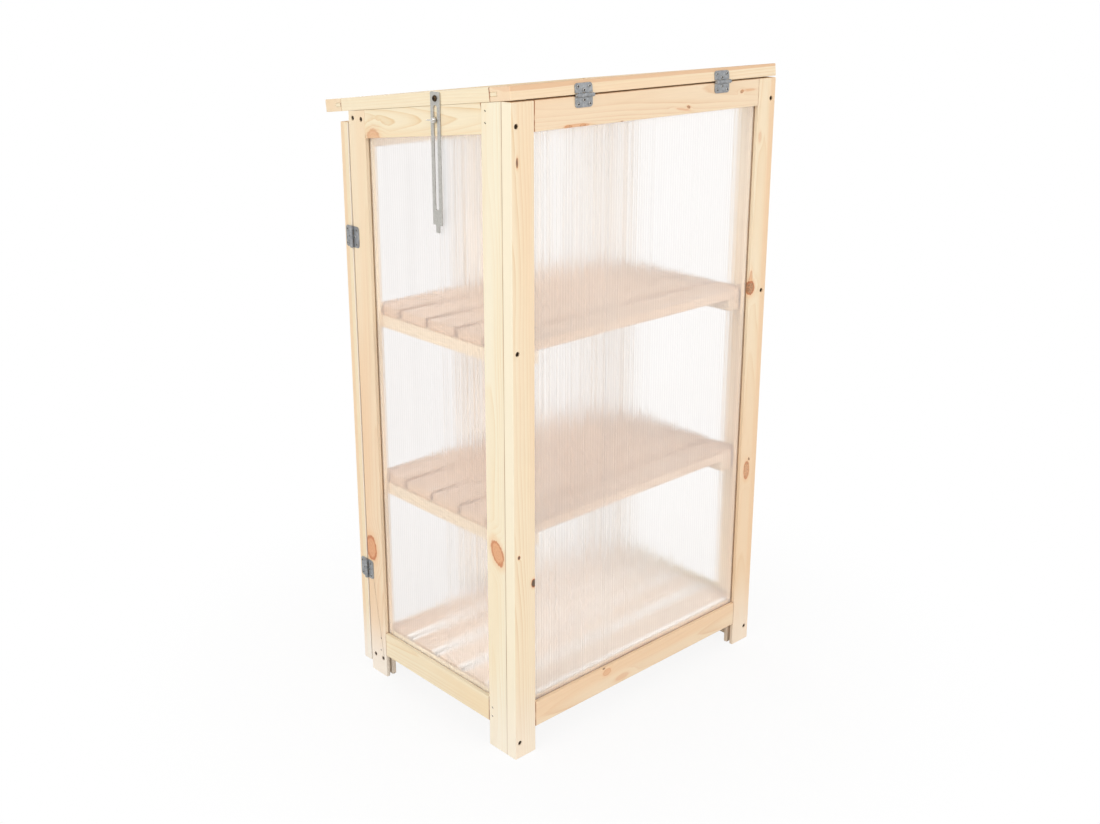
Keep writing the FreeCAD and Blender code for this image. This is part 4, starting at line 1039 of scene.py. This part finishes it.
# The stud: a rod whose radius follows its thread, 2 - 0.22 * |saw wave of height and angle|.
# It stands out of the wing nut's hub and goes into the wood.
HUB_TALL, STUD_OUT, STUD_IN = 5, 1.5, 14
STUD_RINGS, STUD_STEPS = 140, 20
levels = np.linspace(STAY_X - HALF + HUB_TALL + STUD_OUT, -STUD_IN, STUD_RINGS)[:, None]
wave = np.mod(levels / 0.7 + np.linspace(0, 1, STUD_STEPS, endpoint=False), 1)
rod = turned_shape(2 - 0.22 * np.abs(2 * wave - 1), levels, STUD_STEPS)
fasteners("stay.stud", "cabinet", [(rod, [(at(HALF, STUD_Y, STUD_Z), OUTWARD)], 0)],
          [bright_steel], "lid_stay_stud")


def wing_nut():
    """The hub is a closed outline turned about the stud. Each wing is a row of ellipses on a
    path that leaves the hub and curves up and out: x = 2.6 + 6.2 s, z = 2.3 + 7.1 s^1.4, with
    half heights that shrink as sqrt(1 - s^6) towards the rounded tip."""
    hub = [(2.08, 0), (4.9, 0), (5, 0.4), (4.6, 2.2), (3.9, 4.2), (3.5, 4.8),
           (3.1, HUB_TALL), (2.08, HUB_TALL)]
    steps = 32
    points = [outline_shape(hub, steps)[0]]
    lower = np.arange(steps)
    after = (lower + 1) % steps
    top = (len(hub) - 1) * steps
    bore = np.stack([lower + top, after + top, after, lower], -1)
    faces = np.concatenate([grid_faces(len(hub), steps, True), bore]).tolist()

    rings = 18
    s = np.linspace(0, 0.999, rings)[:, None]
    x, z = 2.6 + 6.2 * s, 2.3 + 7.1 * s ** 1.4
    # How fast both grow; a little more than 0 where the wing leaves the hub
    slope_x, slope_z = 6.2 + 0 * s, 9.94 * s ** 0.4 + 1e-6
    length = np.hypot(slope_x, slope_z)
    around = np.linspace(0, 2 * np.pi, rings, endpoint=False)
    shrink = np.sqrt(1 - s ** 6)
    tall, thick = 2.0 * (1 - 0.2 * s) * shrink, (1.15 - 0.35 * s) * shrink
    quads = grid_faces(rings, rings, True).tolist()
    root, tip = list(range(rings)), list(range((rings - 1) * rings, rings * rings))
    tube = quads + [root[::-1], tip]
    for sign in (1, -1):
        wing = np.stack([sign * (x - slope_z / length * tall * np.cos(around)),
                         thick * np.sin(around) * np.ones_like(x),
                         z + slope_x / length * tall * np.cos(around)], -1).reshape(-1, 3)
        start = sum(len(part) for part in points)
        faces += [[corner + start for corner in face[::-sign]] for face in tube]
        points.append(wing)
    return np.concatenate(points), faces


nut_points, nut_faces = wing_nut()
nut = piece("wing.nut", "stay_wing_nut", bright_steel,
            stand(nut_points, at(STAY_X, STUD_Y, STUD_Z), OUTWARD, (0, 1, 0)), nut_faces,
            smooth=50)
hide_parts("lid_stay_wing_nut")


# Stage: pale floor, white surroundings, soft light and the camera. Sizes in metres

FLOOR_RADIUS, FLOOR_SIDES = 12, 96
WORLD_LIGHT = 0.56


def seen(board):
    """1 for a ray from the camera, a reflection or a view through a sheet, else 0."""
    path = board.node("LightPath")
    total = board.math("ADD", path.outputs["Is Camera Ray"], path.outputs["Is Glossy Ray"])
    return board.math("ADD", total, path.outputs["Is Transmission Ray"], clamp=True)


def build_stage():
    """A round pale floor that brightens to white from 0.25 to 0.85 m from its middle, and
    surroundings that light the object softly and are plain white where they are seen."""
    pale = Finish("pale floor")
    radius = pale.vector("LENGTH", pale.place(), output="Value")
    share = pale.span(radius, 0.25, 0.85, 0.88, 1.0)
    lit = pale.node("BsdfDiffuse", tint(248, 247, 246))
    white = pale.node("Emission")
    both = pale.mixed(pale.times(share, seen(pale)), lit.outputs[0], white.outputs[0])
    rim, _ = outline_shape([(FLOOR_RADIUS, 0)], FLOOR_SIDES)
    mesh = bpy.data.meshes.new("floor")
    mesh.from_pydata(rim.tolist(), [], [list(range(FLOOR_SIDES))])
    mesh.materials.append(pale.close(both))
    added("floor", mesh)

    air = Finish("white surroundings", bpy.data.worlds)
    light = air.node("Background", (1.0, 0.99, 0.98, 1), WORLD_LIGHT)
    backdrop = air.node("Background", (1, 1, 1, 1))
    both = air.mixed(seen(air), light.outputs[0], backdrop.outputs[0])
    bpy.context.scene.world = air.close(both, "OutputWorld")


def soft_lamp(name, place, power):
    """A square lamp 2.2 m wide that faces the object's middle. power is in watts."""
    lamp = bpy.data.lights.new(name, "AREA")
    lamp.shape = "SQUARE"
    lamp.size = 2.2
    lamp.energy = power
    made = added(name, lamp)
    made.location = place
    aim = Vector((0, 0, 0.5)) - Vector(place)
    made.rotation_euler = aim.to_track_quat("-Z", "Y").to_euler()


def add_camera():
    """The camera that was fitted to the cabinet's corners. Its lens and sensor are in mm."""
    right = Vector((-0.731578, 0.681757, 0.001189))
    up = Vector((-0.204518, -0.221127, 0.953559))
    ahead = Vector((-0.650358, -0.697360, -0.301204))
    turn = Matrix((right, up, -ahead)).transposed().to_4x4()
    camera = bpy.data.cameras.new("camera")
    camera.lens = 42.686
    camera.sensor_width = 36
    camera.shift_x = 0.00071
    camera.shift_y = -0.04034
    camera.clip_end = 100
    made = added("camera", camera)
    made.matrix_world = Matrix.Translation((1.46879, 1.56574, 1.21971)) @ turn
    bpy.context.scene.camera = made


build_stage()
soft_lamp("side lamp", (3.2, 0.6, 2.0), 40)
soft_lamp("back lamp", (-0.2, 3.2, 1.8), 33)
soft_lamp("front lamp", (-0.9, -3.2, 2.0), 25)
add_camera()
bpy.context.scene.view_settings.view_transform = "Standard"
